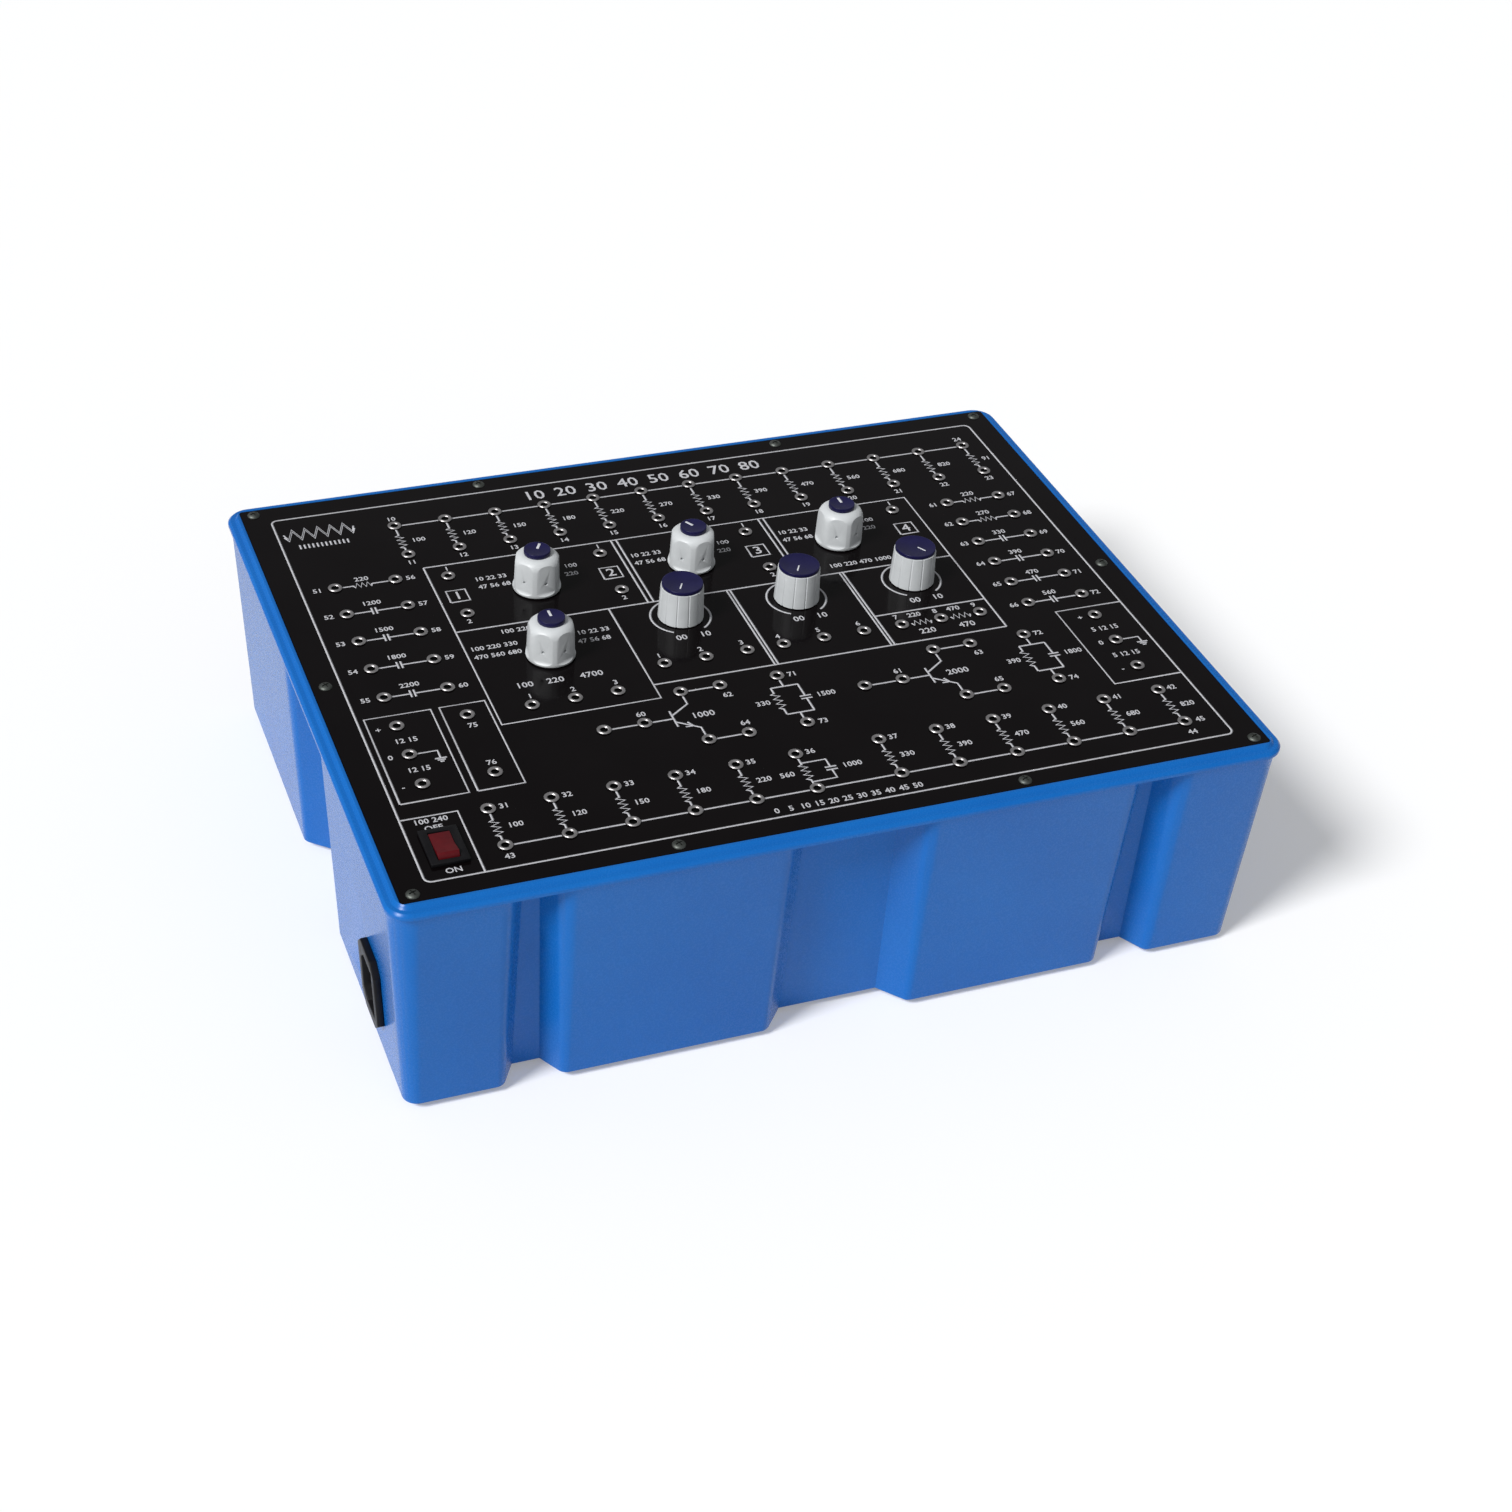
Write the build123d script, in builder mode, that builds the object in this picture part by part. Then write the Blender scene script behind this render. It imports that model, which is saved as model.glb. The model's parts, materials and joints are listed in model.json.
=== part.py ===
from build123d import *
import os
from math import atan, cos, degrees, radians, sin, sqrt, tan

# Transistor trainer: a moulded tub closed by a panel with sockets, knobs and a mains switch.
# Millimetres, +X to the right, +Y to the back, +Z up. The origin is on the table under the panel's middle.

# Panel
panel_width = 360.0
panel_depth = 278.0
panel_thickness = 2.0
panel_corner_radius = 1.5
panel_clearance = 0.3

# Tub
tub_height = 101.1          # from the table to the underside of the rim
tub_wall = 2.5
tub_floor = 2.5
tub_draft = 2.5             # degrees
tub_reach = 0.3             # the wall's foot stands this far outside the panel's edge
tub_corner_radius = 6.0     # at the table, growing with the draft
tub_bottom_bevel = 3.6
foot_height = 3.0
foot_length = 26.0

# Rim round the panel: an outer flange, and a lip that steps up to the panel's face
flange_reach = 5.8
flange_thickness = 2.6
flange_corner_radius = 10.0
flange_bevel = 1.1
lip_rise = 1.6
lip_foot_reach = 2.9
lip_top_reach = 1.5
lip_corner_radius = 7.0
ledge_width = 9.8           # the panel rests on this much of the rim

# Upright channels that divide the walls into blocks
channel_depth = 11.0
channel_edge_radius = 4.6
narrow_channel_width = 24.6
narrow_channel_run = 6.5
narrow_channel_place = 129.0
wide_channel_width = 62.0
wide_channel_run = 9.5

# Panel screws
screw_side_inset = 5.5
screw_end_inset = 4.1
screw_middle_place = 72.0
screw_shank_diameter = 3.0
screw_length = 9.0
screw_head_diameter = 5.6
screw_head_height = 1.5
screw_play = 0.1
post_width = 8.0
post_depth = 11.0

# Test sockets
socket_width = 6.4
socket_height = 1.0         # above the panel
socket_tail = 7.3           # below the panel

# Controls: three-position selector switches and potentiometers
bush_diameter = 9.5
bush_height = 1.6           # above the panel
hole_play = 0.2
nut_width = 13.0
nut_thickness = 1.4
shaft_diameter = 6.0
shaft_height = 12.0         # above the panel
shaft_play = 0.05
shaft_seat = 6.0            # how far the shaft reaches down into its bush
selector_body_diameter = 25.0
selector_body_depth = 13.0
dial_body_diameter = 16.5
dial_body_depth = 9.0
dial_tag_width = 13.0
dial_tag_reach = 12.0
dial_tag_thickness = 3.0

# Knobs
knob_gap = 0.4              # between the panel and a knob
knob_height = 16.7
knob_width = 20.8           # of the round skirt, and across the corners above it
knob_skirt_height = 1.6
knob_taper = 2.0            # degrees
knob_recess_diameter = 15.8  # clears the nut
knob_recess_height = 1.8
knob_bottom_bevel = 0.6
knob_shoulder = 2.2
knob_shoulder_reach = 1.5
grip_turns = [22, 8, -42, 0]    # of a corner on each knob, clockwise from the back
cap_diameter = 11.4
cap_thickness = 2.0
dial_knob_height = 15.1
dial_knob_diameter = 19.5
dial_knob_taper = 2.6       # degrees
dial_cap_diameter = 17.4
dial_cap_thickness = 1.6

# Mains switch
bezel_width = 15.0
bezel_length = 21.0
bezel_height = 1.6
switch_body_width = 13.2
switch_body_length = 19.0
switch_body_depth = 18.0
rocker_width = 8.2
rocker_radius = 8.0
rocker_play = 0.25
rocker_throw = 14.0         # degrees
rocker_rise = 3.2           # from its pivot to the valley of its two faces
rocker_drop = 4.0
pivot_diameter = 2.4
pivot_length = 0.9

# Mains inlet on the left wall
inlet_place = -100.5        # along the wall
inlet_height = 35.0
inlet_width = 24.5
inlet_length = 35.0
inlet_flange = 3.0
inlet_corner = 5.0
inlet_body_width = 19.8
inlet_body_length = 27.4
inlet_body_depth = 17.0
inlet_recess_width = 16.4
inlet_recess_length = 24.2
inlet_recess_corner = 4.6
inlet_recess_depth = 17.0
inlet_play = 0.15
pin_width = 4.0
pin_thickness = 2.0
pin_height = 11.0
pin_tail = 7.0
pin_spacing = 7.0
earth_offset = 4.0

# Supply inside the tub
transformer_place = (-112.0, -34.0)
core_width = 54.0
core_depth = 27.0
core_height = 45.0
winding_width = 34.0
winding_depth = 44.0
winding_height = 27.0
winding_bevel = 3.0
supply_board_place = (20.0, -30.0)
supply_board_width = 110.0
supply_board_depth = 80.0
board_thickness = 1.6
pillar_height = 8.0
pillar_width = 7.0
pillar_inset = 6.0
filter_diameter = 16.0
filter_height = 26.0
filter_pitch = 22.0
regulator_width = 10.0
regulator_height = 19.0
regulator_thickness = 4.5
regulator_pitch = 18.0

# Circuit board under the panel
board_side_inset = 15.0     # from the panel's edge
board_end_inset = 17.0
board_shift = -2.0
window_play = 1.2
part_length = 10.0
part_width = 3.4

# Small round pieces are drawn with this many sides, so that the repeats stay light
plain_sides = 12
cap_sides = 24

# Heights that follow
flange_top = tub_height + flange_thickness
panel_top = flange_top + lip_rise
ledge_top = panel_top - panel_thickness
floor_top = foot_height + tub_floor
board_top = ledge_top - socket_tail
board_underside = board_top - board_thickness

channels = [
    (-narrow_channel_place, narrow_channel_width, narrow_channel_run),
    (0.0, wide_channel_width, wide_channel_run),
    (narrow_channel_place, narrow_channel_width, narrow_channel_run),
]


def grid(x, y, pitch_x, pitch_y, columns, rows):
    # Points of a grid about its middle.
    return [
        (x + (column - (columns - 1) / 2) * pitch_x, y + (row - (rows - 1) / 2) * pitch_y)
        for column in range(columns)
        for row in range(rows)
    ]


# The face is laid out in cells, counted from the panel's middle, so that the layout follows the panel.
cell_width = panel_width / 72
cell_depth = panel_depth / 56


def on_panel(cells):
    return [(column * cell_width, row * cell_depth) for column, row in cells]


selector_places = on_panel([(-14.3, 9.57), (-16.2, -0.56), (-0.24, 9.63), (13.66, 9.77)])
dial_cells = [(-3.92, 2.03), (6.62, 2.03), (17.4, 2.03)]
dial_places = on_panel(dial_cells)
switch_place = on_panel([(-31.3, -22.56)])[0]
stage_pitch = 22.44
stage_cells = [(-15.26, -11.8), (-11.86, -11.8), (-7.66, -8.5), (-4.26, -8.5),
               (-7.66, -15.27), (-4.26, -15.27), (0.74, -8.5), (0.74, -15.27)]
transistor_cells = [(-7.72, -11.88), (-7.72 + stage_pitch, -11.88)]
socket_cells = {
    "top_row_sockets": grid(4.0, 19.82, 4.58, 4.81, 13, 2),
    "bottom_row_sockets": grid(-14.32, -21.31, 5.02, 4.61, 6, 2) + grid(17.92, -21.31, 5.02, 4.61, 6, 2),
    "left_column_sockets": grid(-28.18, 5.54, 5.24, 4.15, 2, 5),
    "right_column_sockets": grid(28.3, 4.45, 5.16, 3.42, 2, 6),
    "selector_sockets": [(x, y) for x in (-21.1, -7.44, 6.14, 20.38) for y in (13.17, 7.17)]
    + grid(-16.1, -6.97, 3.62, 0, 3, 1),
    "dial_sockets": [(x + shift, -4.31) for x, y in dial_cells for shift in (-3.64, 0, 3.64)],
    "stage_sockets": [(x + stage * stage_pitch, y) for stage in (0, 1) for x, y in stage_cells],
    "supply_sockets": grid(-30.8, -10.7, 0, 3.91, 1, 3)
    + grid(-25.06, -10.76, 0, 7.88, 1, 2)
    + grid(30.48, -11.36, 0, 3.95, 1, 3),
}
# Parts under the board: each stands between the two sockets of its row or column.
resistor_row = grid(4.0, 19.82, 4.58, 0, 13, 1)
resistor_column = grid(28.3, 4.45, 0, 3.42, 1, 6)
capacitor_cells = grid(-28.18, 5.54, 0, 4.15, 1, 5) + grid(-14.32, -21.31, 5.02, 0, 6, 1) + grid(
    17.92, -21.31, 5.02, 0, 6, 1)

screw_x = panel_width / 2 - screw_side_inset
screw_y = panel_depth / 2 - screw_end_inset
side_screws = [(-screw_x, 0), (screw_x, 0)]
end_screws = [(x, y) for x in (-screw_middle_place, screw_middle_place) for y in (-screw_y, screw_y)]
corner_screws = [(x, y) for x in (-screw_x, screw_x) for y in (-screw_y, screw_y)]
screw_places = side_screws + end_screws + corner_screws


def drafted(height):
    # How far the drafted wall has moved outwards at a height.
    return height * tan(radians(tub_draft))


# The tub's wall stands this far outside the panel's edge, under the rim.
wall_reach = tub_reach + drafted(tub_height)


def upright(face):
    return abs(face.normal_at().Z) < 0.5


def channel_sides(half_width, half_depth):
    # Each channel's place on the wall, with its width and the run of its slanted sides.
    for x, width, run in channels:
        yield Location((x, half_depth, 0)), width, run
        yield Location((x, -half_depth, 0), (0, 0, 180)), width, run
    yield Location((-half_width, 0, 0), (0, 0, 90)), wide_channel_width, wide_channel_run
    yield Location((half_width, 0, 0), (0, 0, -90)), wide_channel_width, wide_channel_run


def wall_plan(inset, edge_radius):
    # The wall's outline in plan at the table, moved inwards by the inset. Rounded outside, plainer inside.
    width = panel_width + 2 * (tub_reach - inset)
    depth = panel_depth + 2 * (tub_reach - inset)
    corner = tub_corner_radius - inset
    with BuildSketch() as plan:
        Rectangle(width, depth)
        if edge_radius > 0:
            fillet(plan.vertices(), corner)
        else:
            chamfer(plan.vertices(), corner * (2 - sqrt(2)))
        for place, mouth, run in channel_sides(width / 2, depth / 2):
            slant = atan(run / channel_depth)
            half = mouth / 2 + inset * (1 - sin(slant)) / cos(slant)
            with Locations(place):
                Polygon(
                    (-half, 0),
                    (-half + run, -channel_depth),
                    (half - run, -channel_depth),
                    (half, 0),
                    align=None,
                    mode=Mode.SUBTRACT,
                )
        if edge_radius > 0:
            mouths = plan.vertices().filter_by(
                lambda v: (abs(abs(v.Y) - depth / 2) < 0.01 and abs(v.X) < width / 2 - corner - 1)
                or (abs(abs(v.X) - width / 2) < 0.01 and abs(v.Y) < depth / 2 - corner - 1)
            )
            fillet(mouths, edge_radius)
    return plan.sketch


def inlet_plane():
    # The drafted left wall's outer face at the inlet, looking outwards.
    lean = radians(tub_draft)
    reach = panel_width / 2 + tub_reach + drafted(inlet_height)
    return Plane(
        origin=(-reach, inlet_place, inlet_height),
        x_dir=(0, -1, 0),
        z_dir=(-cos(lean), 0, -sin(lean)),
    )


def save(part, name):
    part.label = name
    export_step(part, f"parts/{name}.step")


def make_tub():
    # Hollow of the tub, cut round the posts under the end and corner screws
    post_foot = tub_height - post_depth
    end_post = 2 * (screw_end_inset + wall_reach) + post_width
    side_post = 2 * (screw_side_inset + wall_reach) + post_width
    with BuildPart() as hollow:
        with BuildSketch(Plane.XY.offset(floor_top)):
            add(wall_plan(tub_wall, 0))
        extrude(amount=tub_height - floor_top)
        draft(hollow.faces().filter_by(upright), Plane.XY, -tub_draft)
        with BuildSketch(Plane.XY.offset(post_foot)):
            for x, y in end_screws:
                with Locations((x, y + (end_post - post_width) / 2 * (1 if y > 0 else -1))):
                    Rectangle(post_width, end_post)
            for x, y in corner_screws:
                away_x = (side_post - post_width) / 2 * (1 if x > 0 else -1)
                away_y = (end_post - post_width) / 2 * (1 if y > 0 else -1)
                with Locations((x + away_x, y + away_y)):
                    Rectangle(side_post, end_post)
        extrude(amount=post_depth, mode=Mode.SUBTRACT)

    with BuildPart() as tub:
        # Drafted outer wall with its bevelled foot
        with BuildSketch():
            add(wall_plan(0, channel_edge_radius))
        extrude(amount=tub_height)
        draft(tub.faces().filter_by(upright), Plane.XY, -tub_draft)
        chamfer(tub.faces().sort_by(Axis.Z)[0].edges(), tub_bottom_bevel)
        add(hollow.part, mode=Mode.SUBTRACT)

        # Posts inside the wide channels of the side walls
        with BuildSketch(Plane.XY.offset(post_foot)):
            with Locations(*side_screws):
                Rectangle(post_width, post_width)
        extrude(amount=post_depth)

        # Rim: bevelled flange, then the lip that steps up to the panel
        with BuildSketch(Plane.XY.offset(tub_height)):
            RectangleRounded(
                panel_width + 2 * flange_reach,
                panel_depth + 2 * flange_reach,
                flange_corner_radius,
            )
        extrude(amount=flange_thickness)
        chamfer(tub.edges().group_by(Axis.Z)[-1], flange_bevel)
        with BuildSketch(Plane.XY.offset(flange_top)):
            RectangleRounded(
                panel_width + 2 * lip_foot_reach,
                panel_depth + 2 * lip_foot_reach,
                lip_corner_radius,
            )
        extrude(amount=lip_rise, taper=degrees(atan((lip_foot_reach - lip_top_reach) / lip_rise)))

        # Recess that takes the panel, and the opening inside its ledge
        with BuildSketch(Plane.XY.offset(panel_top)):
            RectangleRounded(
                panel_width + 2 * panel_clearance,
                panel_depth + 2 * panel_clearance,
                panel_corner_radius + panel_clearance,
            )
        extrude(amount=-panel_thickness, mode=Mode.SUBTRACT)
        with BuildSketch(Plane.XY.offset(ledge_top)):
            Rectangle(panel_width - 2 * ledge_width, panel_depth - 2 * ledge_width)
        extrude(amount=tub_height - ledge_top, mode=Mode.SUBTRACT)

        # Pilot holes for the panel screws
        with BuildSketch(Plane.XY.offset(ledge_top)):
            with Locations(*screw_places):
                RegularPolygon(screw_shank_diameter / 2 + screw_play / 2, 6)
        extrude(amount=-screw_length, mode=Mode.SUBTRACT)

        # Underside raised between the feet, and out through each channel
        with BuildSketch():
            Rectangle(panel_width - 2 * foot_length, panel_depth - 2 * foot_length)
            half_width, half_depth = panel_width / 2 + tub_reach, panel_depth / 2 + tub_reach
            for place, mouth, run in channel_sides(half_width, half_depth):
                with Locations(place):
                    Rectangle(mouth - 2 * run, 2 * (foot_length + tub_reach))
        extrude(amount=foot_height, mode=Mode.SUBTRACT)

        # Opening for the mains inlet
        with BuildSketch(inlet_plane()):
            Rectangle(inlet_body_width + 2 * inlet_play, inlet_body_length + 2 * inlet_play)
        extrude(amount=-2 * tub_wall, mode=Mode.SUBTRACT)
    save(tub.part, "tub")


def make_panel():
    with BuildPart() as panel:
        with BuildSketch(Plane.XY.offset(ledge_top)):
            RectangleRounded(panel_width, panel_depth, panel_corner_radius)
            with Locations(*screw_places):
                RegularPolygon(screw_shank_diameter / 2 + screw_play, 6, mode=Mode.SUBTRACT)
            with Locations(*selector_places, *dial_places):
                RegularPolygon(bush_diameter / 2 + hole_play, plain_sides, mode=Mode.SUBTRACT)
            with Locations(*[place for cells in socket_cells.values() for place in on_panel(cells)]):
                RegularPolygon(socket_width / 2, 6, mode=Mode.SUBTRACT)
            with Locations(switch_place):
                Rectangle(switch_body_width, switch_body_length, mode=Mode.SUBTRACT)
        extrude(amount=panel_thickness)
    save(panel.part, "panel")


def make_screws():
    with BuildPart() as screws:
        with BuildSketch(Plane.XY.offset(panel_top)):
            with Locations(*screw_places):
                RegularPolygon(screw_head_diameter / 2, plain_sides)
        extrude(amount=screw_head_height)
        with BuildSketch(Plane.XY.offset(panel_top)):
            with Locations(*screw_places):
                RegularPolygon(screw_shank_diameter / 2, 6)
        extrude(amount=-screw_length)
    save(screws.part, "panel_screws")


def make_sockets():
    # Pressed sockets, six-sided and plain because there are many; the finer shape with its bore is drawn later.
    for name, cells in socket_cells.items():
        with BuildPart() as sockets:
            with BuildSketch(Plane.XY.offset(board_top)):
                with Locations(*on_panel(cells)):
                    RegularPolygon(socket_width / 2, 6)
            extrude(amount=socket_tail + panel_thickness + socket_height)
        save(sockets.part, name)


def make_control_body(place, name, diameter, depth, tag=False):
    # A switch or potentiometer body that hangs on its bush, with the bore for its shaft.
    with BuildPart() as body:
        with BuildSketch(Plane.XY.offset(ledge_top)):
            with Locations(place):
                RegularPolygon(diameter / 2, plain_sides)
        extrude(amount=-depth)
        if tag:
            with BuildSketch(Plane.XY.offset(ledge_top - (depth - dial_tag_thickness) / 2)):
                with Locations((place[0], place[1] - dial_tag_reach / 2)):
                    Rectangle(dial_tag_width, dial_tag_reach)
            extrude(amount=-dial_tag_thickness)
        with BuildSketch(Plane.XY.offset(ledge_top)):
            with Locations(place):
                RegularPolygon(bush_diameter / 2, plain_sides)
        extrude(amount=panel_thickness + bush_height)
        with BuildSketch(Plane.XY.offset(panel_top + bush_height)):
            with Locations(place):
                RegularPolygon(shaft_diameter / 2 + shaft_play, plain_sides, major_radius=False)
        extrude(amount=-shaft_seat - shaft_play, mode=Mode.SUBTRACT)
    save(body.part, name)


def make_shaft(place, name):
    with BuildPart() as shaft:
        with BuildSketch(Plane.XY.offset(panel_top + bush_height - shaft_seat)):
            with Locations(place):
                RegularPolygon(shaft_diameter / 2, plain_sides)
        extrude(amount=shaft_seat - bush_height + shaft_height)
    save(shaft.part, name)


def knob_hollow(place):
    # The recess over the nut and the blind bore that seats on the shaft's end.
    with BuildPart() as hollow:
        with BuildSketch(Plane.XY.offset(panel_top)):
            with Locations(place):
                RegularPolygon(knob_recess_diameter / 2, plain_sides, major_radius=False)
        extrude(amount=knob_gap + knob_recess_height)
        with BuildSketch(Plane.XY.offset(panel_top)):
            with Locations(place):
                RegularPolygon(shaft_diameter / 2 + shaft_play, plain_sides)
        extrude(amount=shaft_height)
    return hollow.part


def make_selector_knob(place, number, turn):
    # Six tapered flats between a bevelled shoulder and a round skirt.
    bottom = panel_top + knob_gap
    with BuildPart() as knob:
        with BuildSketch(Plane.XY.offset(bottom)):
            with Locations(place):
                RegularPolygon(knob_width / 2, 6, rotation=90 - turn)
        extrude(amount=knob_height, taper=knob_taper)
        chamfer(knob.faces().sort_by(Axis.Z)[-1].edges(), knob_shoulder, knob_shoulder_reach)
        with BuildSketch(Plane.XY.offset(bottom)):
            with Locations(place):
                RegularPolygon(knob_width / 2, cap_sides, rotation=90 - turn)
        extrude(amount=knob_skirt_height)
        chamfer(knob.faces().sort_by(Axis.Z)[0].edges(), knob_bottom_bevel)
        add(knob_hollow(place), mode=Mode.SUBTRACT)
    save(knob.part, f"selector_knob_{number}")
    with BuildPart() as cap:
        with BuildSketch(Plane.XY.offset(bottom + knob_height)):
            with Locations(place):
                RegularPolygon(cap_diameter / 2, cap_sides)
        extrude(amount=cap_thickness)
    save(cap.part, f"selector_cap_{number}")


def make_dial_knob(place, number):
    # Tapered knob under a large cap. Its fine flutes are drawn later.
    bottom = panel_top + knob_gap
    with BuildPart() as knob:
        with BuildSketch(Plane.XY.offset(bottom)):
            with Locations(place):
                RegularPolygon(dial_knob_diameter / 2, cap_sides)
        extrude(amount=dial_knob_height, taper=dial_knob_taper)
        add(knob_hollow(place), mode=Mode.SUBTRACT)
    save(knob.part, f"dial_knob_{number}")
    with BuildPart() as cap:
        with BuildSketch(Plane.XY.offset(bottom + dial_knob_height)):
            with Locations(place):
                RegularPolygon(dial_cap_diameter / 2, cap_sides)
        extrude(amount=dial_cap_thickness)
    save(cap.part, f"dial_cap_{number}")


def make_nuts():
    with BuildPart() as nuts:
        with BuildSketch(Plane.XY.offset(panel_top)):
            with Locations(*selector_places, *dial_places):
                RegularPolygon(nut_width / 2, 6, major_radius=False)
                RegularPolygon(bush_diameter / 2 + shaft_play, plain_sides, mode=Mode.SUBTRACT)
        extrude(amount=nut_thickness)
    save(nuts.part, "control_nuts")


def make_switch():
    # Rocker switch: a housing that drops into the panel, and the rocker on its two pivot stubs.
    x, y = switch_place
    pivot_height = panel_top + bezel_height - rocker_rise
    cavity_width = rocker_width + 2 * rocker_play
    across = Plane(origin=(x, y, pivot_height), x_dir=(0, 1, 0), z_dir=(1, 0, 0))
    cavity_radius = rocker_radius + rocker_play
    with BuildPart() as housing:
        with BuildSketch(Plane.XY.offset(panel_top)):
            with Locations(switch_place):
                Rectangle(bezel_width, bezel_length)
        extrude(amount=bezel_height)
        with BuildSketch(Plane.XY.offset(panel_top)):
            with Locations(switch_place):
                Rectangle(switch_body_width, switch_body_length)
        extrude(amount=-switch_body_depth)
        with BuildSketch(across):
            RegularPolygon(cavity_radius, cap_sides, major_radius=False)
            with Locations((0, rocker_rise / 2)):
                Rectangle(2 * cavity_radius, rocker_rise)
        extrude(amount=cavity_width / 2, both=True, mode=Mode.SUBTRACT)
        with BuildSketch(across):
            RegularPolygon(pivot_diameter / 2 + shaft_play, plain_sides, major_radius=False)
        extrude(amount=rocker_width / 2 + pivot_length + rocker_play, both=True, mode=Mode.SUBTRACT)
    save(housing.part, "rocker_housing")

    with BuildPart() as rocker:
        with BuildSketch(across):
            RegularPolygon(rocker_radius, cap_sides)
            half_throw = radians(rocker_throw / 2)
            ends = rocker_radius * tan(half_throw)
            with BuildLine():
                Polyline(
                    (-rocker_radius, -rocker_drop),
                    (rocker_radius, -rocker_drop),
                    (rocker_radius, rocker_rise + ends),
                    (0, rocker_rise),
                    (-rocker_radius, rocker_rise + ends),
                    close=True,
                )
            make_face(mode=Mode.INTERSECT)
        extrude(amount=rocker_width / 2, both=True)
        with BuildSketch(across):
            RegularPolygon(pivot_diameter / 2, plain_sides)
        extrude(amount=rocker_width / 2 + pivot_length, both=True)
    turned = rocker.part.rotate(Axis((x, y, pivot_height), (1, 0, 0)), -rocker_throw / 2)
    save(turned, "rocker")


def make_inlet():
    # Mains inlet that clips into the left wall from outside, with three blades in its recess.
    outside = inlet_plane()
    with BuildPart() as inlet:
        with BuildSketch(outside):
            Rectangle(inlet_width, inlet_length)
        extrude(amount=inlet_flange)
        chamfer(inlet.edges().filter_by(lambda e: abs(e.length - inlet_flange) < 0.01), inlet_corner)
        with BuildSketch(outside):
            Rectangle(inlet_body_width, inlet_body_length)
        extrude(amount=-inlet_body_depth)
        with BuildSketch(outside.offset(inlet_flange)) as recess:
            Rectangle(inlet_recess_width, inlet_recess_length)
            chamfer(recess.vertices().group_by(Axis.X)[0], inlet_recess_corner)
        extrude(amount=-inlet_recess_depth, mode=Mode.SUBTRACT)
    recess_floor = outside.offset(inlet_flange - inlet_recess_depth)
    pins = [(-earth_offset / 2, 0), (earth_offset / 2, -pin_spacing), (earth_offset / 2, pin_spacing)]
    with BuildPart() as blades:
        with BuildSketch(recess_floor):
            with Locations(*pins):
                Rectangle(pin_width, pin_thickness)
        extrude(amount=pin_height)
        extrude(blades.faces().filter_by(recess_floor).group_by(Axis.X)[-1], amount=pin_tail)
    save(inlet.part - blades.part, "mains_inlet")
    save(blades.part, "inlet_blades")


def make_supply():
    # Transformer on the tub's floor, and the rectifier board on four pillars.
    x, y = transformer_place
    with BuildPart() as core:
        with BuildSketch(Plane.XY.offset(floor_top)):
            with Locations((x, y)):
                Rectangle(core_width, core_depth)
        extrude(amount=core_height)
        with BuildSketch(Plane.XY.offset(floor_top + (core_height - winding_height) / 2)):
            with Locations((x, y)):
                Rectangle(winding_width, core_depth)
        extrude(amount=winding_height, mode=Mode.SUBTRACT)
    save(core.part, "transformer_core")
    with BuildPart() as winding:
        with BuildSketch(Plane.XY.offset(floor_top + (core_height - winding_height) / 2)):
            with Locations((x, y)):
                Rectangle(winding_width, winding_depth)
        extrude(amount=winding_height)
        chamfer(winding.edges().filter_by(Axis.Z), winding_bevel)
    save(winding.part, "transformer_winding")

    x, y = supply_board_place
    pillars = grid(x, y, supply_board_width - 2 * pillar_inset, supply_board_depth - 2 * pillar_inset, 2, 2)
    with BuildPart() as pillar_set:
        with BuildSketch(Plane.XY.offset(floor_top)):
            with Locations(*pillars):
                RegularPolygon(pillar_width / 2, 6)
        extrude(amount=pillar_height)
    save(pillar_set.part, "board_pillars")
    face = floor_top + pillar_height + board_thickness
    with BuildPart() as board:
        with BuildSketch(Plane.XY.offset(face)):
            with Locations((x, y)):
                Rectangle(supply_board_width, supply_board_depth)
        extrude(amount=-board_thickness)
    save(board.part, "supply_board")
    with BuildPart() as filters:
        with BuildSketch(Plane.XY.offset(face)):
            with Locations(*grid(x - filter_pitch, y, filter_pitch, 0, 2, 1)):
                RegularPolygon(filter_diameter / 2, plain_sides)
        extrude(amount=filter_height)
    save(filters.part, "filter_capacitors")
    with BuildPart() as regulators:
        with BuildSketch(Plane.XY.offset(face)):
            with Locations(*grid(x + filter_pitch, y + filter_pitch, regulator_pitch, 0, 3, 1)):
                Rectangle(regulator_width, regulator_thickness)
        extrude(amount=regulator_height)
    save(regulators.part, "regulators")


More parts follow.
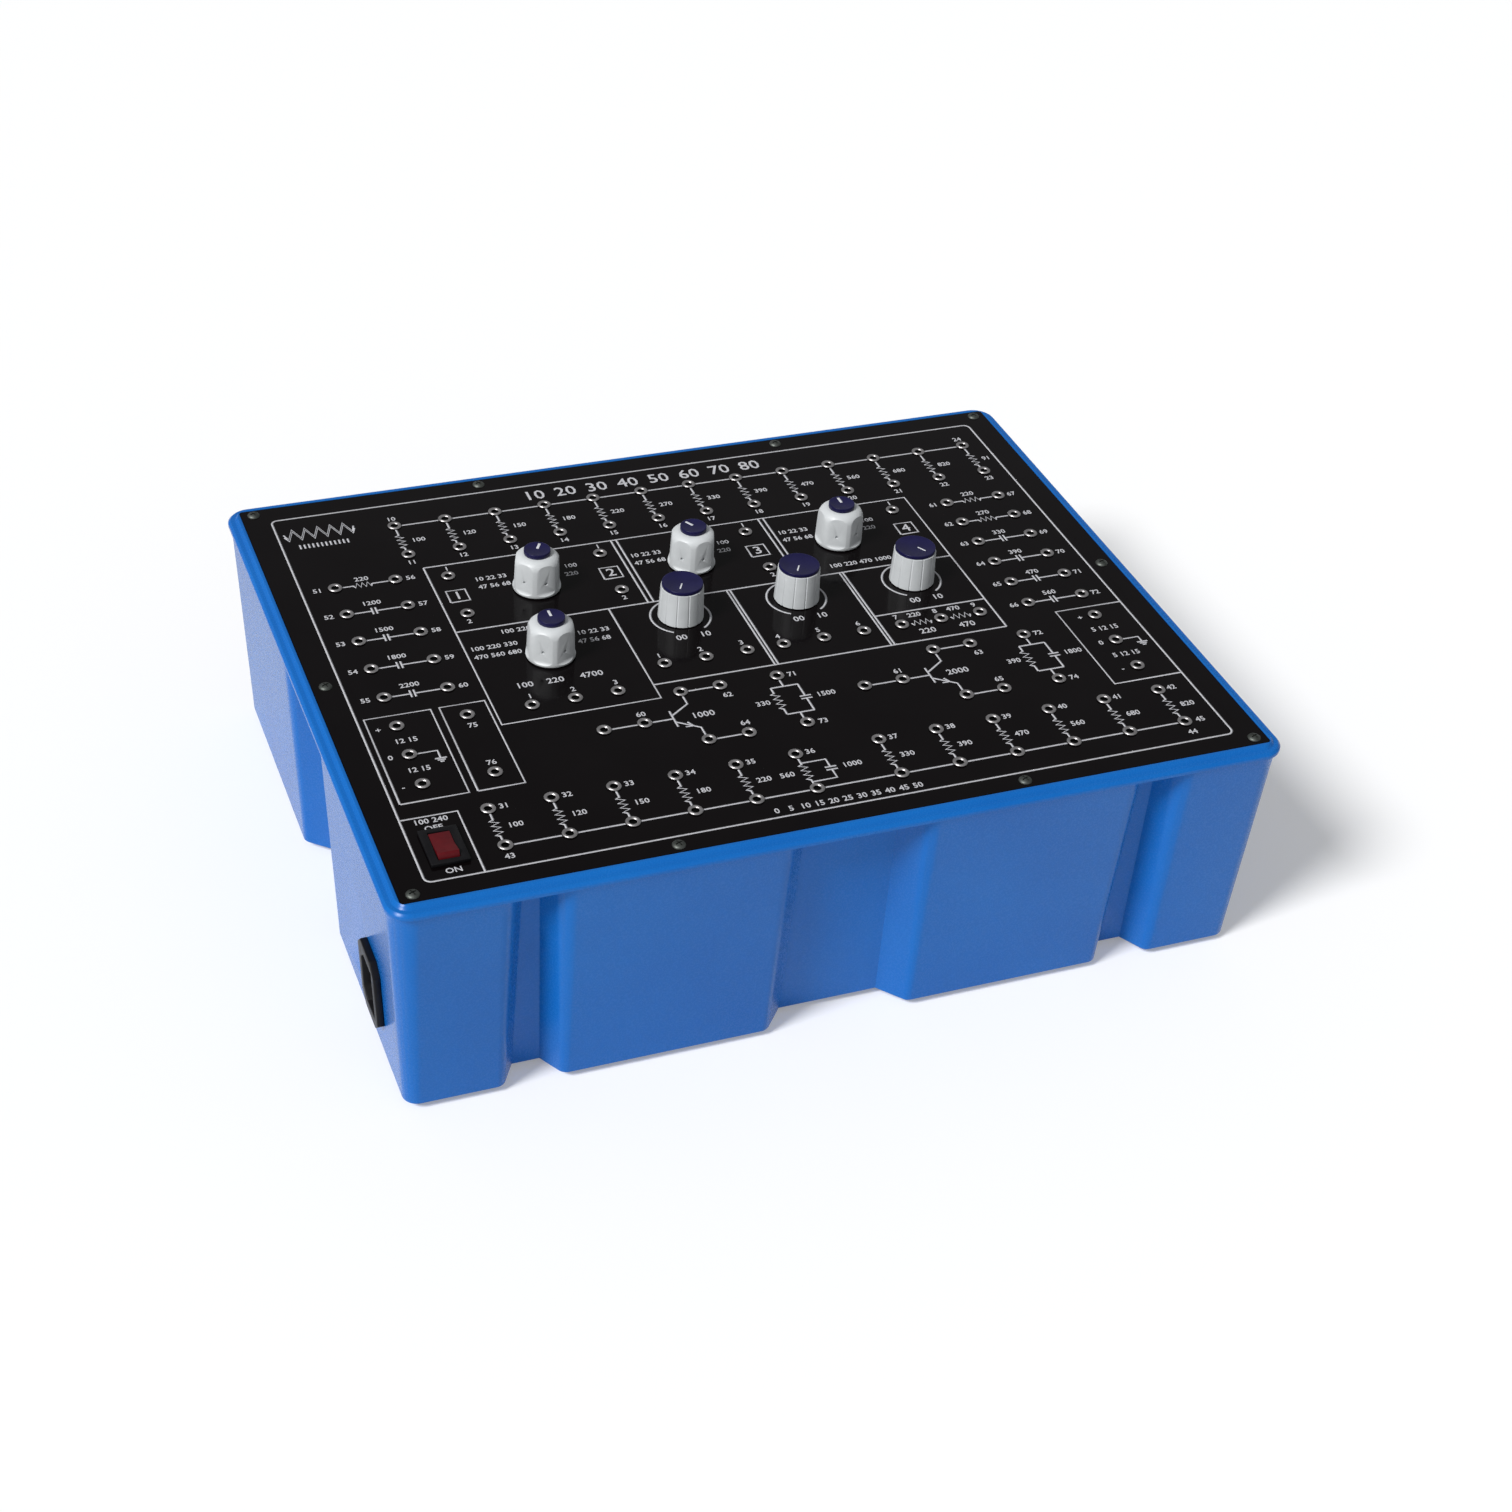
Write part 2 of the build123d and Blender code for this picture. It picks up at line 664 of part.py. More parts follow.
def make_circuit_board():
    # The board that the sockets' tails are soldered to, with its parts below.
    with BuildPart() as board:
        with BuildSketch(Plane.XY.offset(board_top)):
            with Locations((0, board_shift)):
                Rectangle(panel_width - 2 * board_side_inset, panel_depth - 2 * board_end_inset)
            with Locations(*selector_places):
                side = selector_body_diameter + 2 * window_play
                Rectangle(side, side, mode=Mode.SUBTRACT)
            with Locations(*dial_places):
                side = dial_body_diameter + 2 * window_play
                Rectangle(side, side, mode=Mode.SUBTRACT)
            with Locations(switch_place):
                Rectangle(
                    switch_body_width + 2 * window_play,
                    switch_body_length + 2 * window_play,
                    mode=Mode.SUBTRACT,
                )
        extrude(amount=-board_thickness)
    save(board.part, "circuit_board")

    with BuildPart() as resistors:
        with BuildSketch(Plane.XY.offset(board_underside)):
            with Locations(*on_panel(resistor_row)):
                Rectangle(part_width, part_length)
            with Locations(*on_panel(resistor_column)):
                Rectangle(part_length, part_width)
        extrude(amount=-part_width)
    save(resistors.part, "board_resistors")
    with BuildPart() as capacitors:
        with BuildSketch(Plane.XY.offset(board_underside)):
            with Locations(*on_panel(capacitor_cells)):
                Rectangle(part_length, part_width)
        extrude(amount=-2 * part_width)
    save(capacitors.part, "board_capacitors")
    with BuildPart() as transistors:
        with BuildSketch(Plane.XY.offset(board_underside)):
            with Locations(*on_panel(transistor_cells)):
                RegularPolygon(part_length / 2, 8)
        extrude(amount=-2 * part_width)
    save(transistors.part, "board_transistors")


os.makedirs("parts", exist_ok=True)
make_tub()
make_panel()
make_screws()
make_sockets()
for number, (place, turn) in enumerate(zip(selector_places, grip_turns), 1):
    make_control_body(place, f"selector_switch_{number}", selector_body_diameter, selector_body_depth)
    make_shaft(place, f"selector_shaft_{number}")
    make_selector_knob(place, number, turn)
for number, place in enumerate(dial_places, 1):
    make_control_body(place, f"potentiometer_{number}", dial_body_diameter, dial_body_depth, tag=True)
    make_shaft(place, f"potentiometer_shaft_{number}")
    make_dial_knob(place, number)
make_nuts()
make_switch()
make_inlet()
make_supply()
make_circuit_board()
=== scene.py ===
import bpy
import bmesh
import json
import math
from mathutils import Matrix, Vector

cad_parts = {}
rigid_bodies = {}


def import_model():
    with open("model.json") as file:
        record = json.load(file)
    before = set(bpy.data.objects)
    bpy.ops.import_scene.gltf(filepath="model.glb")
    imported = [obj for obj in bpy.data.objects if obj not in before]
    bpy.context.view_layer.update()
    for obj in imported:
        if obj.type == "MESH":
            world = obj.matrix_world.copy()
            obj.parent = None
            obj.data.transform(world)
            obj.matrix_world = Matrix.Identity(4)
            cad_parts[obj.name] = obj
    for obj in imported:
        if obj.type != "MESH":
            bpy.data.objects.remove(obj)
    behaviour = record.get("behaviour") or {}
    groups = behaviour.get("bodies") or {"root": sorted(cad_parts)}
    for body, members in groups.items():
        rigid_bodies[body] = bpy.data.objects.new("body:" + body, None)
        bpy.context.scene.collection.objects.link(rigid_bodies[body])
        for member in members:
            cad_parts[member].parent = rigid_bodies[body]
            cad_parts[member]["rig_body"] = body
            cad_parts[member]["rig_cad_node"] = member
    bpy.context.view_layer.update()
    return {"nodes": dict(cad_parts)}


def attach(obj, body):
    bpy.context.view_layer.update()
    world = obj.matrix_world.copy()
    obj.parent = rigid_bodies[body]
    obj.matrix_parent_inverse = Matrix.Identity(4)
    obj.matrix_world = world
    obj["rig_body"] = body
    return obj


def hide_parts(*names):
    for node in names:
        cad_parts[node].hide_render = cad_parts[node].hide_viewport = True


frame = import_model()
nodes = frame["nodes"]
mm = 0.001
panelTop = 0.1053  # height of the panel's face above the table
bpy.context.scene.view_settings.view_transform = "Standard"


# Small tools that the pieces share

def pickNothing():
    bpy.ops.object.select_all(action="DESELECT")


def pickOnly(obj):
    pickNothing()
    obj.select_set(True)
    bpy.context.view_layer.objects.active = obj


def startEdit(obj, mode="FACE"):
    pickOnly(obj)
    bpy.ops.object.mode_set(mode="EDIT")
    bpy.ops.mesh.select_mode(type=mode)
    bpy.ops.mesh.select_all(action="DESELECT")


def endEdit():
    bpy.ops.object.mode_set(mode="OBJECT")


def pickFaces(obj, test):
    # Selects the faces whose middle and normal pass the test.
    bm = bmesh.from_edit_mesh(obj.data)
    bm.normal_update()
    for face in bm.faces:
        face.select_set(bool(test(face.calc_center_median(), face.normal)))
    bmesh.update_edit_mesh(obj.data)


def pickVerts(obj, test):
    bm = bmesh.from_edit_mesh(obj.data)
    for vert in bm.verts:
        vert.select_set(bool(test(vert.co)))
    bm.select_flush_mode()
    bmesh.update_edit_mesh(obj.data)


def settle(obj, name):
    # Puts the object at the origin, with its place in its mesh.
    pickOnly(obj)
    bpy.ops.object.transform_apply(location=True, rotation=True, scale=True)
    obj.name = name
    obj.data.name = name
    return obj


def join(objs, name):
    pickNothing()
    for obj in objs:
        obj.select_set(True)
    bpy.context.view_layer.objects.active = objs[0]
    if len(objs) > 1:
        bpy.ops.object.join()
    return settle(bpy.context.view_layer.objects.active, name)


def copyAt(obj, x, y):
    # A copy with its own mesh, moved on the panel.
    pickOnly(obj)
    bpy.ops.object.duplicate(linked=False)
    twin = bpy.context.view_layer.objects.active
    twin.location = (twin.location.x + x, twin.location.y + y, twin.location.z)
    return twin


def addBevel(obj, width, segments, angle):
    mod = obj.modifiers.new("edges", "BEVEL")
    mod.width = width
    mod.segments = segments
    mod.limit_method = "ANGLE"
    mod.angle_limit = math.radians(angle)
    mod.harden_normals = False
    pickOnly(obj)
    bpy.ops.object.modifier_apply(modifier=mod.name)


def cutWith(obj, tool):
    mod = obj.modifiers.new("cut", "BOOLEAN")
    mod.operation = "DIFFERENCE"
    mod.solver = "EXACT"
    mod.object = tool
    pickOnly(obj)
    bpy.ops.object.modifier_apply(modifier=mod.name)
    bpy.data.objects.remove(tool)


def smooth(obj, angle):
    pickOnly(obj)
    bpy.ops.object.shade_smooth_by_angle(angle=math.radians(angle))


def dress(obj, material):
    obj.data.materials.clear()
    obj.data.materials.append(material)


finishSetup = {"mergeReach": 0.01 * mm, "flatAngle": 1.0}  # degrees


def finishNode(name, newName, edge, keep=None):
    # A merged copy of a CAD node with softened edges. Faces that pass the keep test aren't joined up.
    pickOnly(nodes[name])
    bpy.ops.object.duplicate(linked=False)
    twin = bpy.context.view_layer.objects.active
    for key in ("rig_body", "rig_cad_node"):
        if key in twin:
            del twin[key]
    twin.parent = None
    twin.name = newName
    twin.data.name = newName
    startEdit(twin, "VERT")
    bpy.ops.mesh.select_all(action="SELECT")
    bpy.ops.mesh.remove_doubles(threshold=finishSetup["mergeReach"])
    bpy.ops.mesh.select_mode(type="FACE")
    pickFaces(twin, lambda middle, normal: keep is None or not keep(middle, normal))
    bpy.ops.mesh.dissolve_limited(angle_limit=math.radians(finishSetup["flatAngle"]))
    endEdit()
    addBevel(twin, edge["width"] * mm, edge["steps"], edge["angle"])
    smooth(twin, edge["smooth"])
    return twin


# Materials

def newMaterial(name):
    mat = bpy.data.materials.new(name)
    mat.use_nodes = True
    tree = mat.node_tree
    shader = tree.nodes["Principled BSDF"]
    coords = tree.nodes.new("ShaderNodeTexCoord")
    mapping = tree.nodes.new("ShaderNodeMapping")
    tree.links.new(coords.outputs["Object"], mapping.inputs["Vector"])
    return mat, tree, shader, mapping.outputs["Vector"]


def addNoise(tree, vector, scale, detail, roughness=0.55):
    noise = tree.nodes.new("ShaderNodeTexNoise")
    noise.inputs["Scale"].default_value = scale
    noise.inputs["Detail"].default_value = detail
    noise.inputs["Roughness"].default_value = roughness
    tree.links.new(vector, noise.inputs["Vector"])
    return noise.outputs["Fac"]


def addRange(tree, value, low, high, fromLow=0.3, fromHigh=0.7):
    # Spreads a value, by default the middle of a noise, over a range.
    spread = tree.nodes.new("ShaderNodeMapRange")
    spread.inputs["From Min"].default_value = fromLow
    spread.inputs["From Max"].default_value = fromHigh
    spread.inputs["To Min"].default_value = low
    spread.inputs["To Max"].default_value = high
    tree.links.new(value, spread.inputs["Value"])
    return spread.outputs["Result"]


def addTint(tree, value, colorA, colorB):
    mix = tree.nodes.new("ShaderNodeMix")
    mix.data_type = "RGBA"
    mix.inputs["A"].default_value = (*colorA, 1)
    mix.inputs["B"].default_value = (*colorB, 1)
    tree.links.new(value, mix.inputs["Factor"])
    return mix.outputs["Result"]


def addDepth(tree, vector, color, look):
    # Painted shade: darkens the colour below a height, standing in for the shade that falls inside a narrow
    # bore.
    split = tree.nodes.new("ShaderNodeSeparateXYZ")
    tree.links.new(vector, split.inputs["Vector"])
    low, high = look["boreShadeLevel"] - look["boreShadeFade"], look["boreShadeLevel"]
    mix = tree.nodes.new("ShaderNodeMix")
    mix.data_type = "RGBA"
    mix.inputs["B"].default_value = (*look["paintedBoreShade"], 1)
    tree.links.new(color, mix.inputs["A"])
    tree.links.new(addRange(tree, split.outputs["Z"], 1.0, 0.0, low, high), mix.inputs["Factor"])
    return mix.outputs["Result"]


def addBump(tree, shader, value, strength, distance):
    bump = tree.nodes.new("ShaderNodeBump")
    bump.inputs["Strength"].default_value = strength
    bump.inputs["Distance"].default_value = distance
    tree.links.new(value, bump.inputs["Height"])
    tree.links.new(bump.outputs["Normal"], shader.inputs["Normal"])


def makePlastic(name, look):
    mat, tree, shader, vector = newMaterial(name)
    cloud = addNoise(tree, vector, look["cloudScale"], 3.0)
    color = addTint(tree, addRange(tree, cloud, 0.0, 1.0), look["dark"], look["light"])
    tree.links.new(color, shader.inputs["Base Color"])
    grain = addNoise(tree, vector, look["grainScale"], 3.0, 0.6)
    rough = addRange(tree, grain, look["roughLow"], look["roughHigh"])
    tree.links.new(rough, shader.inputs["Roughness"])
    addBump(tree, shader, grain, look["bump"], look["bumpDepth"])
    shader.inputs["Specular IOR Level"].default_value = look.get("specular", 0.5)
    return mat


def makeMetal(name, look):
    mat, tree, shader, vector = newMaterial(name)
    shader.inputs["Metallic"].default_value = 1.0
    cloud = addNoise(tree, vector, look["cloudScale"], 4.0)
    color = addTint(tree, addRange(tree, cloud, 0.0, 1.0), look["dark"], look["light"])
    # Painted shade inside the bore, for looks that ask for it
    if look.get("paintedBoreShade"):
        color = addDepth(tree, vector, color, look)
    tree.links.new(color, shader.inputs["Base Color"])
    grain = addNoise(tree, vector, look["grainScale"], 4.0, 0.6)
    rough = addRange(tree, grain, look["roughLow"], look["roughHigh"])
    tree.links.new(rough, shader.inputs["Roughness"])
    addBump(tree, shader, grain, look["bump"], look["bumpDepth"])
    return mat


tubLook = {
    "dark": (0.0045, 0.114, 0.425), "light": (0.0062, 0.131, 0.460), "cloudScale": 14.0,
    "grainScale": 1400.0, "roughLow": 0.24, "roughHigh": 0.30, "bump": 0.04, "bumpDepth": 0.0001,
    "specular": 0.17,
}
panelLook = {
    "dark": (0.0024, 0.0015, 0.0018), "light": (0.0032, 0.0022, 0.0025), "cloudScale": 30.0,
    "grainScale": 500.0, "roughLow": 0.10, "roughHigh": 0.16, "bump": 0.05, "bumpDepth": 0.00005,
    "specular": 0.10,
}
printLook = {
    "dark": (0.42, 0.42, 0.45), "light": (0.56, 0.56, 0.58), "cloudScale": 900.0,
    "grainScale": 2500.0, "roughLow": 0.45, "roughHigh": 0.6, "bump": 0.1, "bumpDepth": 0.00002,
    "specular": 0.3,
}
knobLook = {
    "dark": (0.52, 0.54, 0.55), "light": (0.60, 0.62, 0.63), "cloudScale": 90.0,
    "grainScale": 2200.0, "roughLow": 0.38, "roughHigh": 0.5, "bump": 0.12, "bumpDepth": 0.00005,
}
capLook = {
    "dark": (0.0055, 0.0045, 0.040), "light": (0.009, 0.0075, 0.055), "cloudScale": 160.0,
    "grainScale": 2200.0, "roughLow": 0.3, "roughHigh": 0.42, "bump": 0.1, "bumpDepth": 0.00004,
    "specular": 0.30,
}
pointerLook = {
    "dark": (0.55, 0.56, 0.60), "light": (0.70, 0.71, 0.74), "cloudScale": 500.0,
    "grainScale": 2200.0, "roughLow": 0.4, "roughHigh": 0.5, "bump": 0.05, "bumpDepth": 0.00002,
}
rockerLook = {
    "dark": (0.075, 0.004, 0.007), "light": (0.105, 0.006, 0.009), "cloudScale": 220.0,
    "grainScale": 1600.0, "roughLow": 0.28, "roughHigh": 0.38, "bump": 0.05, "bumpDepth": 0.00004,
    "specular": 0.15,
}
blackLook = {
    "dark": (0.0040, 0.0038, 0.0048), "light": (0.0070, 0.0068, 0.0080), "cloudScale": 120.0,
    "grainScale": 1800.0, "roughLow": 0.35, "roughHigh": 0.48, "bump": 0.15, "bumpDepth": 0.00005,
    "specular": 0.15,
}
nickelLook = {
    "dark": (0.60, 0.57, 0.58), "light": (0.76, 0.73, 0.74), "cloudScale": 350.0,
    "grainScale": 3000.0, "roughLow": 0.26, "roughHigh": 0.38, "bump": 0.06, "bumpDepth": 0.00003,
}
eyeletLook = {
    "dark": (0.42, 0.40, 0.40), "light": (0.56, 0.54, 0.54), "cloudScale": 350.0,
    "grainScale": 3000.0, "roughLow": 0.34, "roughHigh": 0.44, "bump": 0.06, "bumpDepth": 0.00003,
    # Below this level the eyelet's colour is painted shade for the dark inside of its bore
    "paintedBoreShade": (0.006, 0.006, 0.006), "boreShadeLevel": panelTop + 0.55 * mm, "boreShadeFade": 0.2 * mm,
}
screwLook = {
    "dark": (0.09, 0.10, 0.09), "light": (0.15, 0.16, 0.15), "cloudScale": 500.0,
    "grainScale": 2400.0, "roughLow": 0.48, "roughHigh": 0.6, "bump": 0.1, "bumpDepth": 0.00003,
}
steelLook = {
    "dark": (0.42, 0.42, 0.41), "light": (0.58, 0.58, 0.56), "cloudScale": 300.0,
    "grainScale": 1500.0, "roughLow": 0.28, "roughHigh": 0.45, "bump": 0.1, "bumpDepth": 0.00004,
}
coreLook = {
    "dark": (0.05, 0.05, 0.055), "light": (0.10, 0.10, 0.11), "cloudScale": 60.0,
    "grainScale": 900.0, "roughLow": 0.35, "roughHigh": 0.55, "bump": 0.3, "bumpDepth": 0.0001,
}
tapeLook = {
    "dark": (0.52, 0.36, 0.07), "light": (0.66, 0.48, 0.12), "cloudScale": 40.0,
    "grainScale": 700.0, "roughLow": 0.3, "roughHigh": 0.5, "bump": 0.3, "bumpDepth": 0.0001,
}
laminateLook = {
    "dark": (0.22, 0.14, 0.05), "light": (0.32, 0.21, 0.09), "cloudScale": 70.0,
    "grainScale": 900.0, "roughLow": 0.4, "roughHigh": 0.6, "bump": 0.2, "bumpDepth": 0.00006,
}
creamLook = {
    "dark": (0.60, 0.52, 0.36), "light": (0.70, 0.62, 0.45), "cloudScale": 300.0,
    "grainScale": 1500.0, "roughLow": 0.4, "roughHigh": 0.55, "bump": 0.1, "bumpDepth": 0.00005,
}
filmLook = {
    "dark": (0.30, 0.06, 0.02), "light": (0.42, 0.10, 0.03), "cloudScale": 300.0,
    "grainScale": 1500.0, "roughLow": 0.2, "roughHigh": 0.35, "bump": 0.1, "bumpDepth": 0.00005,
}
sleeveLook = {
    "dark": (0.02, 0.03, 0.10), "light": (0.03, 0.05, 0.15), "cloudScale": 120.0,
    "grainScale": 1500.0, "roughLow": 0.25, "roughHigh": 0.4, "bump": 0.1, "bumpDepth": 0.00005,
}

tubPlastic = makePlastic("tubPlastic", tubLook)
panelGloss = makePlastic("panelGloss", panelLook)
whitePrint = makePlastic("whitePrint", printLook)
knobPlastic = makePlastic("knobPlastic", knobLook)
capPlastic = makePlastic("capPlastic", capLook)
pointerPaint = makePlastic("pointerPaint", pointerLook)
rockerRed = makePlastic("rockerRed", rockerLook)
blackPlastic = makePlastic("blackPlastic", blackLook)
nickel = makeMetal("nickel", nickelLook)
eyeletMetal = makeMetal("eyeletMetal", eyeletLook)
screwSteel = makeMetal("screwSteel", screwLook)
dullSteel = makeMetal("dullSteel", steelLook)
coreVarnish = makePlastic("coreVarnish", coreLook)
windingTape = makePlastic("windingTape", tapeLook)
laminate = makePlastic("laminate", laminateLook)
creamLacquer = makePlastic("creamLacquer", creamLook)
filmPlastic = makePlastic("filmPlastic", filmLook)
sleevePlastic = makePlastic("sleevePlastic", sleeveLook)
print("materials made")


# Camera, floor and light

cameraSetup = {
    "place": (-0.34431, -0.81533, 0.69359),
    "turn": (50.9582, -2.971, -19.9221),  # degrees
    "lens": 59.7813, "sensor": 36.0,  # millimetres
    "shift": (0.0397, 0.0661), "nearest": 0.01,
}
bpy.ops.object.camera_add(location=cameraSetup["place"],
                          rotation=[math.radians(a) for a in cameraSetup["turn"]])
camera = bpy.context.active_object
camera.name = "photoCamera"
camera.data.lens = cameraSetup["lens"]
camera.data.sensor_width = cameraSetup["sensor"]
camera.data.shift_x, camera.data.shift_y = cameraSetup["shift"]
camera.data.clip_start = cameraSetup["nearest"]
bpy.context.scene.camera = camera

sunSetup = {
    "place": (-1.0, -0.5, 1.2), "travel": (0.662, 0.262, -0.702),  # the way its light goes
    "strength": 3.45, "spread": 16.0,  # degrees
}
bpy.ops.object.light_add(type="SUN", location=sunSetup["place"],
                         rotation=Vector(sunSetup["travel"]).to_track_quat("-Z", "Y").to_euler())
sun = bpy.context.active_object
sun.name = "keySun"
sun.data.energy = sunSetup["strength"]
sun.data.angle = math.radians(sunSetup["spread"])

lampSetup = {"place": (0.2, -1.8, 1.0), "aim": (0, 0, 0.05), "size": 1.4, "power": 2.0}
lampAim = Vector(lampSetup["aim"]) - Vector(lampSetup["place"])
bpy.ops.object.light_add(type="AREA", location=lampSetup["place"],
                         rotation=lampAim.to_track_quat("-Z", "Y").to_euler())
lamp = bpy.context.active_object
lamp.name = "frontLamp"
lamp.data.size = lampSetup["size"]
lamp.data.energy = lampSetup["power"]

worldSetup = {"color": (0.96, 0.98, 1.0), "strength": 0.28}
world = bpy.data.worlds.new("studioWorld")
bpy.context.scene.world = world
world.use_nodes = True
sky = world.node_tree.nodes["Background"]
sky.inputs["Color"].default_value = (*worldSetup["color"], 1)
sky.inputs["Strength"].default_value = worldSetup["strength"]

floorSetup = {"size": 7.0, "color": (0.95, 0.95, 0.95), "roughness": 0.9, "whiteShare": 0.25}
bpy.ops.mesh.primitive_plane_add(size=floorSetup["size"], location=(0, 0, 0))
floor = bpy.context.active_object
floor.name = "studioFloor"
floorMat, floorTree, floorShader = newMaterial("paleFloor")[:3]
floorShader.inputs["Roughness"].default_value = floorSetup["roughness"]
floorShader.inputs["Specular IOR Level"].default_value = 0.0
floorShader.inputs["Base Color"].default_value = (*floorSetup["color"], 1)
lightPath = floorTree.nodes.new("ShaderNodeLightPath")
addGloss = floorTree.nodes.new("ShaderNodeMath")
addGloss.operation = "MAXIMUM"
addTransmission = floorTree.nodes.new("ShaderNodeMath")
addTransmission.operation = "MAXIMUM"
share = floorTree.nodes.new("ShaderNodeMath")
share.operation = "MULTIPLY"
share.inputs[1].default_value = floorSetup["whiteShare"]
white = floorTree.nodes.new("ShaderNodeEmission")
white.inputs["Strength"].default_value = 1.0
mixWhite = floorTree.nodes.new("ShaderNodeMixShader")
link = floorTree.links.new
link(lightPath.outputs["Is Camera Ray"], addGloss.inputs[0])
link(lightPath.outputs["Is Glossy Ray"], addGloss.inputs[1])
link(addGloss.outputs[0], addTransmission.inputs[0])
link(lightPath.outputs["Is Transmission Ray"], addTransmission.inputs[1])
link(addTransmission.outputs[0], share.inputs[0])
link(share.outputs[0], mixWhite.inputs["Fac"])
link(floorShader.outputs["BSDF"], mixWhite.inputs[1])
link(white.outputs["Emission"], mixWhite.inputs[2])
link(mixWhite.outputs["Shader"], floorTree.nodes["Material Output"].inputs["Surface"])
floor.data.materials.append(floorMat)
print("camera, floor and lamps set")


# Case

caseShape = {"width": 0.4, "steps": 2, "angle": 40, "smooth": 50, "ledgeLevel": 0.09}


def onLedge(middle, normal):
    # The flat tops of the rim, the ledge and the screw posts.
    return abs(normal.z) > 0.9 and middle.z > caseShape["ledgeLevel"]


tub = finishNode("tub", "tub_moulding", caseShape, keep=onLedge)
dress(tub, tubPlastic)
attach(tub, "case")
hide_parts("tub")
dress(nodes["panel"], panelGloss)
print("case dressed")


# Test sockets

def gridOf(x, y, pitchX, pitchY, columns, rows):
    return [(x + (c - (columns - 1) / 2) * pitchX, y + (r - (rows - 1) / 2) * pitchY)
            for c in range(columns) for r in range(rows)]


# Places on the panel in millimetres from its middle
dialPlaces = [(-19.6, 10.1), (33.1, 10.1), (87.0, 10.1)]
selectorPlaces = [(-71.5, 47.5), (-81.0, -2.8), (-1.2, 47.8), (68.3, 48.5)]
boxColumns = [-105.5, -37.2, 30.7, 101.9]
stageShifts = [0, 112.2]
stageSockets = [(-76.3, -58.6), (-59.3, -58.6), (-38.3, -42.2), (-21.3, -42.2),
                (-38.3, -75.8), (-21.3, -75.8), (3.7, -42.2), (3.7, -75.8)]
socketPlaces = {
    "top_row": gridOf(20.0, 98.4, 22.9, 23.9, 13, 2),
    "bottom_row": gridOf(-71.6, -105.8, 25.1, 22.9, 6, 2) + gridOf(89.6, -105.8, 25.1, 22.9, 6, 2),
    "left_column": gridOf(-140.9, 27.5, 26.2, 20.6, 2, 5),
    "right_column": gridOf(141.5, 22.1, 25.8, 17.0, 2, 6),
    "selector": [(x, y) for x in boxColumns for y in (65.4, 35.6)]
    + gridOf(-80.5, -34.6, 18.1, 0, 3, 1),
    "dial": [(x + shift, -21.4) for x, y in dialPlaces for shift in (-18.2, 0, 18.2)],
    "stage": [(x + shift, y) for shift in stageShifts for x, y in stageSockets],
    "supply": gridOf(-154.0, -53.1, 0, 19.4, 1, 3) + gridOf(-125.3, -53.4, 0, 39.1, 1, 2)
    + gridOf(152.4, -56.4, 0, 19.6, 1, 3),
}
socketShape = {
    "sides": 16, "smooth": 50, "radius": 3.1,
    "rings": [(3.1, 0.4275), (2.85, 0.8075), (2.45, 0.95), (2.05, 0.85), (1.6, 0.5), (1.5, 0.2),
              (1.44, -4.05)],  # radius and height above the panel, from the outside to the bore's end
}


def turnUp(sides, radius, bottom, rings):
    # A turned body: a flat disc, extruded from ring to ring.
    bpy.ops.mesh.primitive_circle_add(vertices=sides, radius=radius * mm, fill_type="NGON",
                                      location=(0, 0, bottom))
    body = bpy.context.active_object
    bpy.ops.object.mode_set(mode="EDIT")
    bpy.ops.mesh.select_all(action="SELECT")
    height = 0.0
    for nextRadius, nextHeight in rings:
        rise = (nextHeight - height) * mm
        bpy.ops.mesh.extrude_region_move(TRANSFORM_OT_translate={"value": (0, 0, rise)})
        ratio = nextRadius / radius
        bpy.ops.transform.resize(value=(ratio, ratio, 1), center_override=(0, 0, bottom))
        radius, height = nextRadius, nextHeight
    bpy.ops.mesh.select_all(action="SELECT")
    bpy.ops.mesh.normals_make_consistent(inside=False)
    endEdit()
    return body


def makeSocket():
    # A pressed eyelet with a rounded head, a shallow dish and a bore.
    socket = turnUp(socketShape["sides"], socketShape["radius"], panelTop, socketShape["rings"])
    smooth(socket, socketShape["smooth"])
    dress(socket, eyeletMetal)
    return socket


master = makeSocket()
for group, places in socketPlaces.items():
    copies = [copyAt(master, x * mm, y * mm) for x, y in places]
    piece = join(copies, group + "_eyelets")
    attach(piece, "case")
    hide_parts(group + "_sockets")
bpy.data.objects.remove(master)
print("sockets placed")


# Panel screws

screwShape = {
    "sides": 24, "smooth": 40, "radius": 2.75, "height": 1.3, "crownRadius": 0.35,
    "domeSteps": 6, "domeAngle": 82.8,  # degrees
    "recess": 0.9, "recessRise": 0.3, "recessWidth": 0.62, "recessLength": 3.2, "recessTurn": 0.4,
}
screwPlaces = [(x, y) for x in (-174.5, 174.5) for y in (-134.9, 0, 134.9)] + [
    (x, y) for x in (-72.0, 72.0) for y in (-134.9, 134.9)]


def makeScrew():
    # A domed head with a cross recess.
    shape = screwShape
    rings = []
    for step in range(1, shape["domeSteps"] + 1):
        angle = math.radians(shape["domeAngle"] * step / shape["domeSteps"])
        rings.append((max(shape["radius"] * math.cos(angle), shape["crownRadius"]),
                      shape["height"] * math.sin(angle)))
    screw = turnUp(shape["sides"], shape["radius"], panelTop, rings)
    level = shape["height"] - shape["recess"] / 2 + shape["recessRise"]
    for turn in (shape["recessTurn"], shape["recessTurn"] + math.pi / 2):
        bpy.ops.mesh.primitive_cube_add(size=1, location=(0, 0, panelTop + level * mm), rotation=(0, 0, turn))
        blade = bpy.context.active_object
        depth = shape["recess"] + 2 * shape["recessRise"]
        blade.scale = (shape["recessLength"] * mm, shape["recessWidth"] * mm, depth * mm)
        cutWith(screw, blade)
    smooth(screw, shape["smooth"])
    dress(screw, screwSteel)
    return screw


master = makeScrew()
piece = join([copyAt(master, x * mm, y * mm) for x, y in screwPlaces], "cross_head_screws")
bpy.data.objects.remove(master)
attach(piece, "case")
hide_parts("panel_screws")
print("screws placed")


# Selector knobs: six flats under a turned shoulder

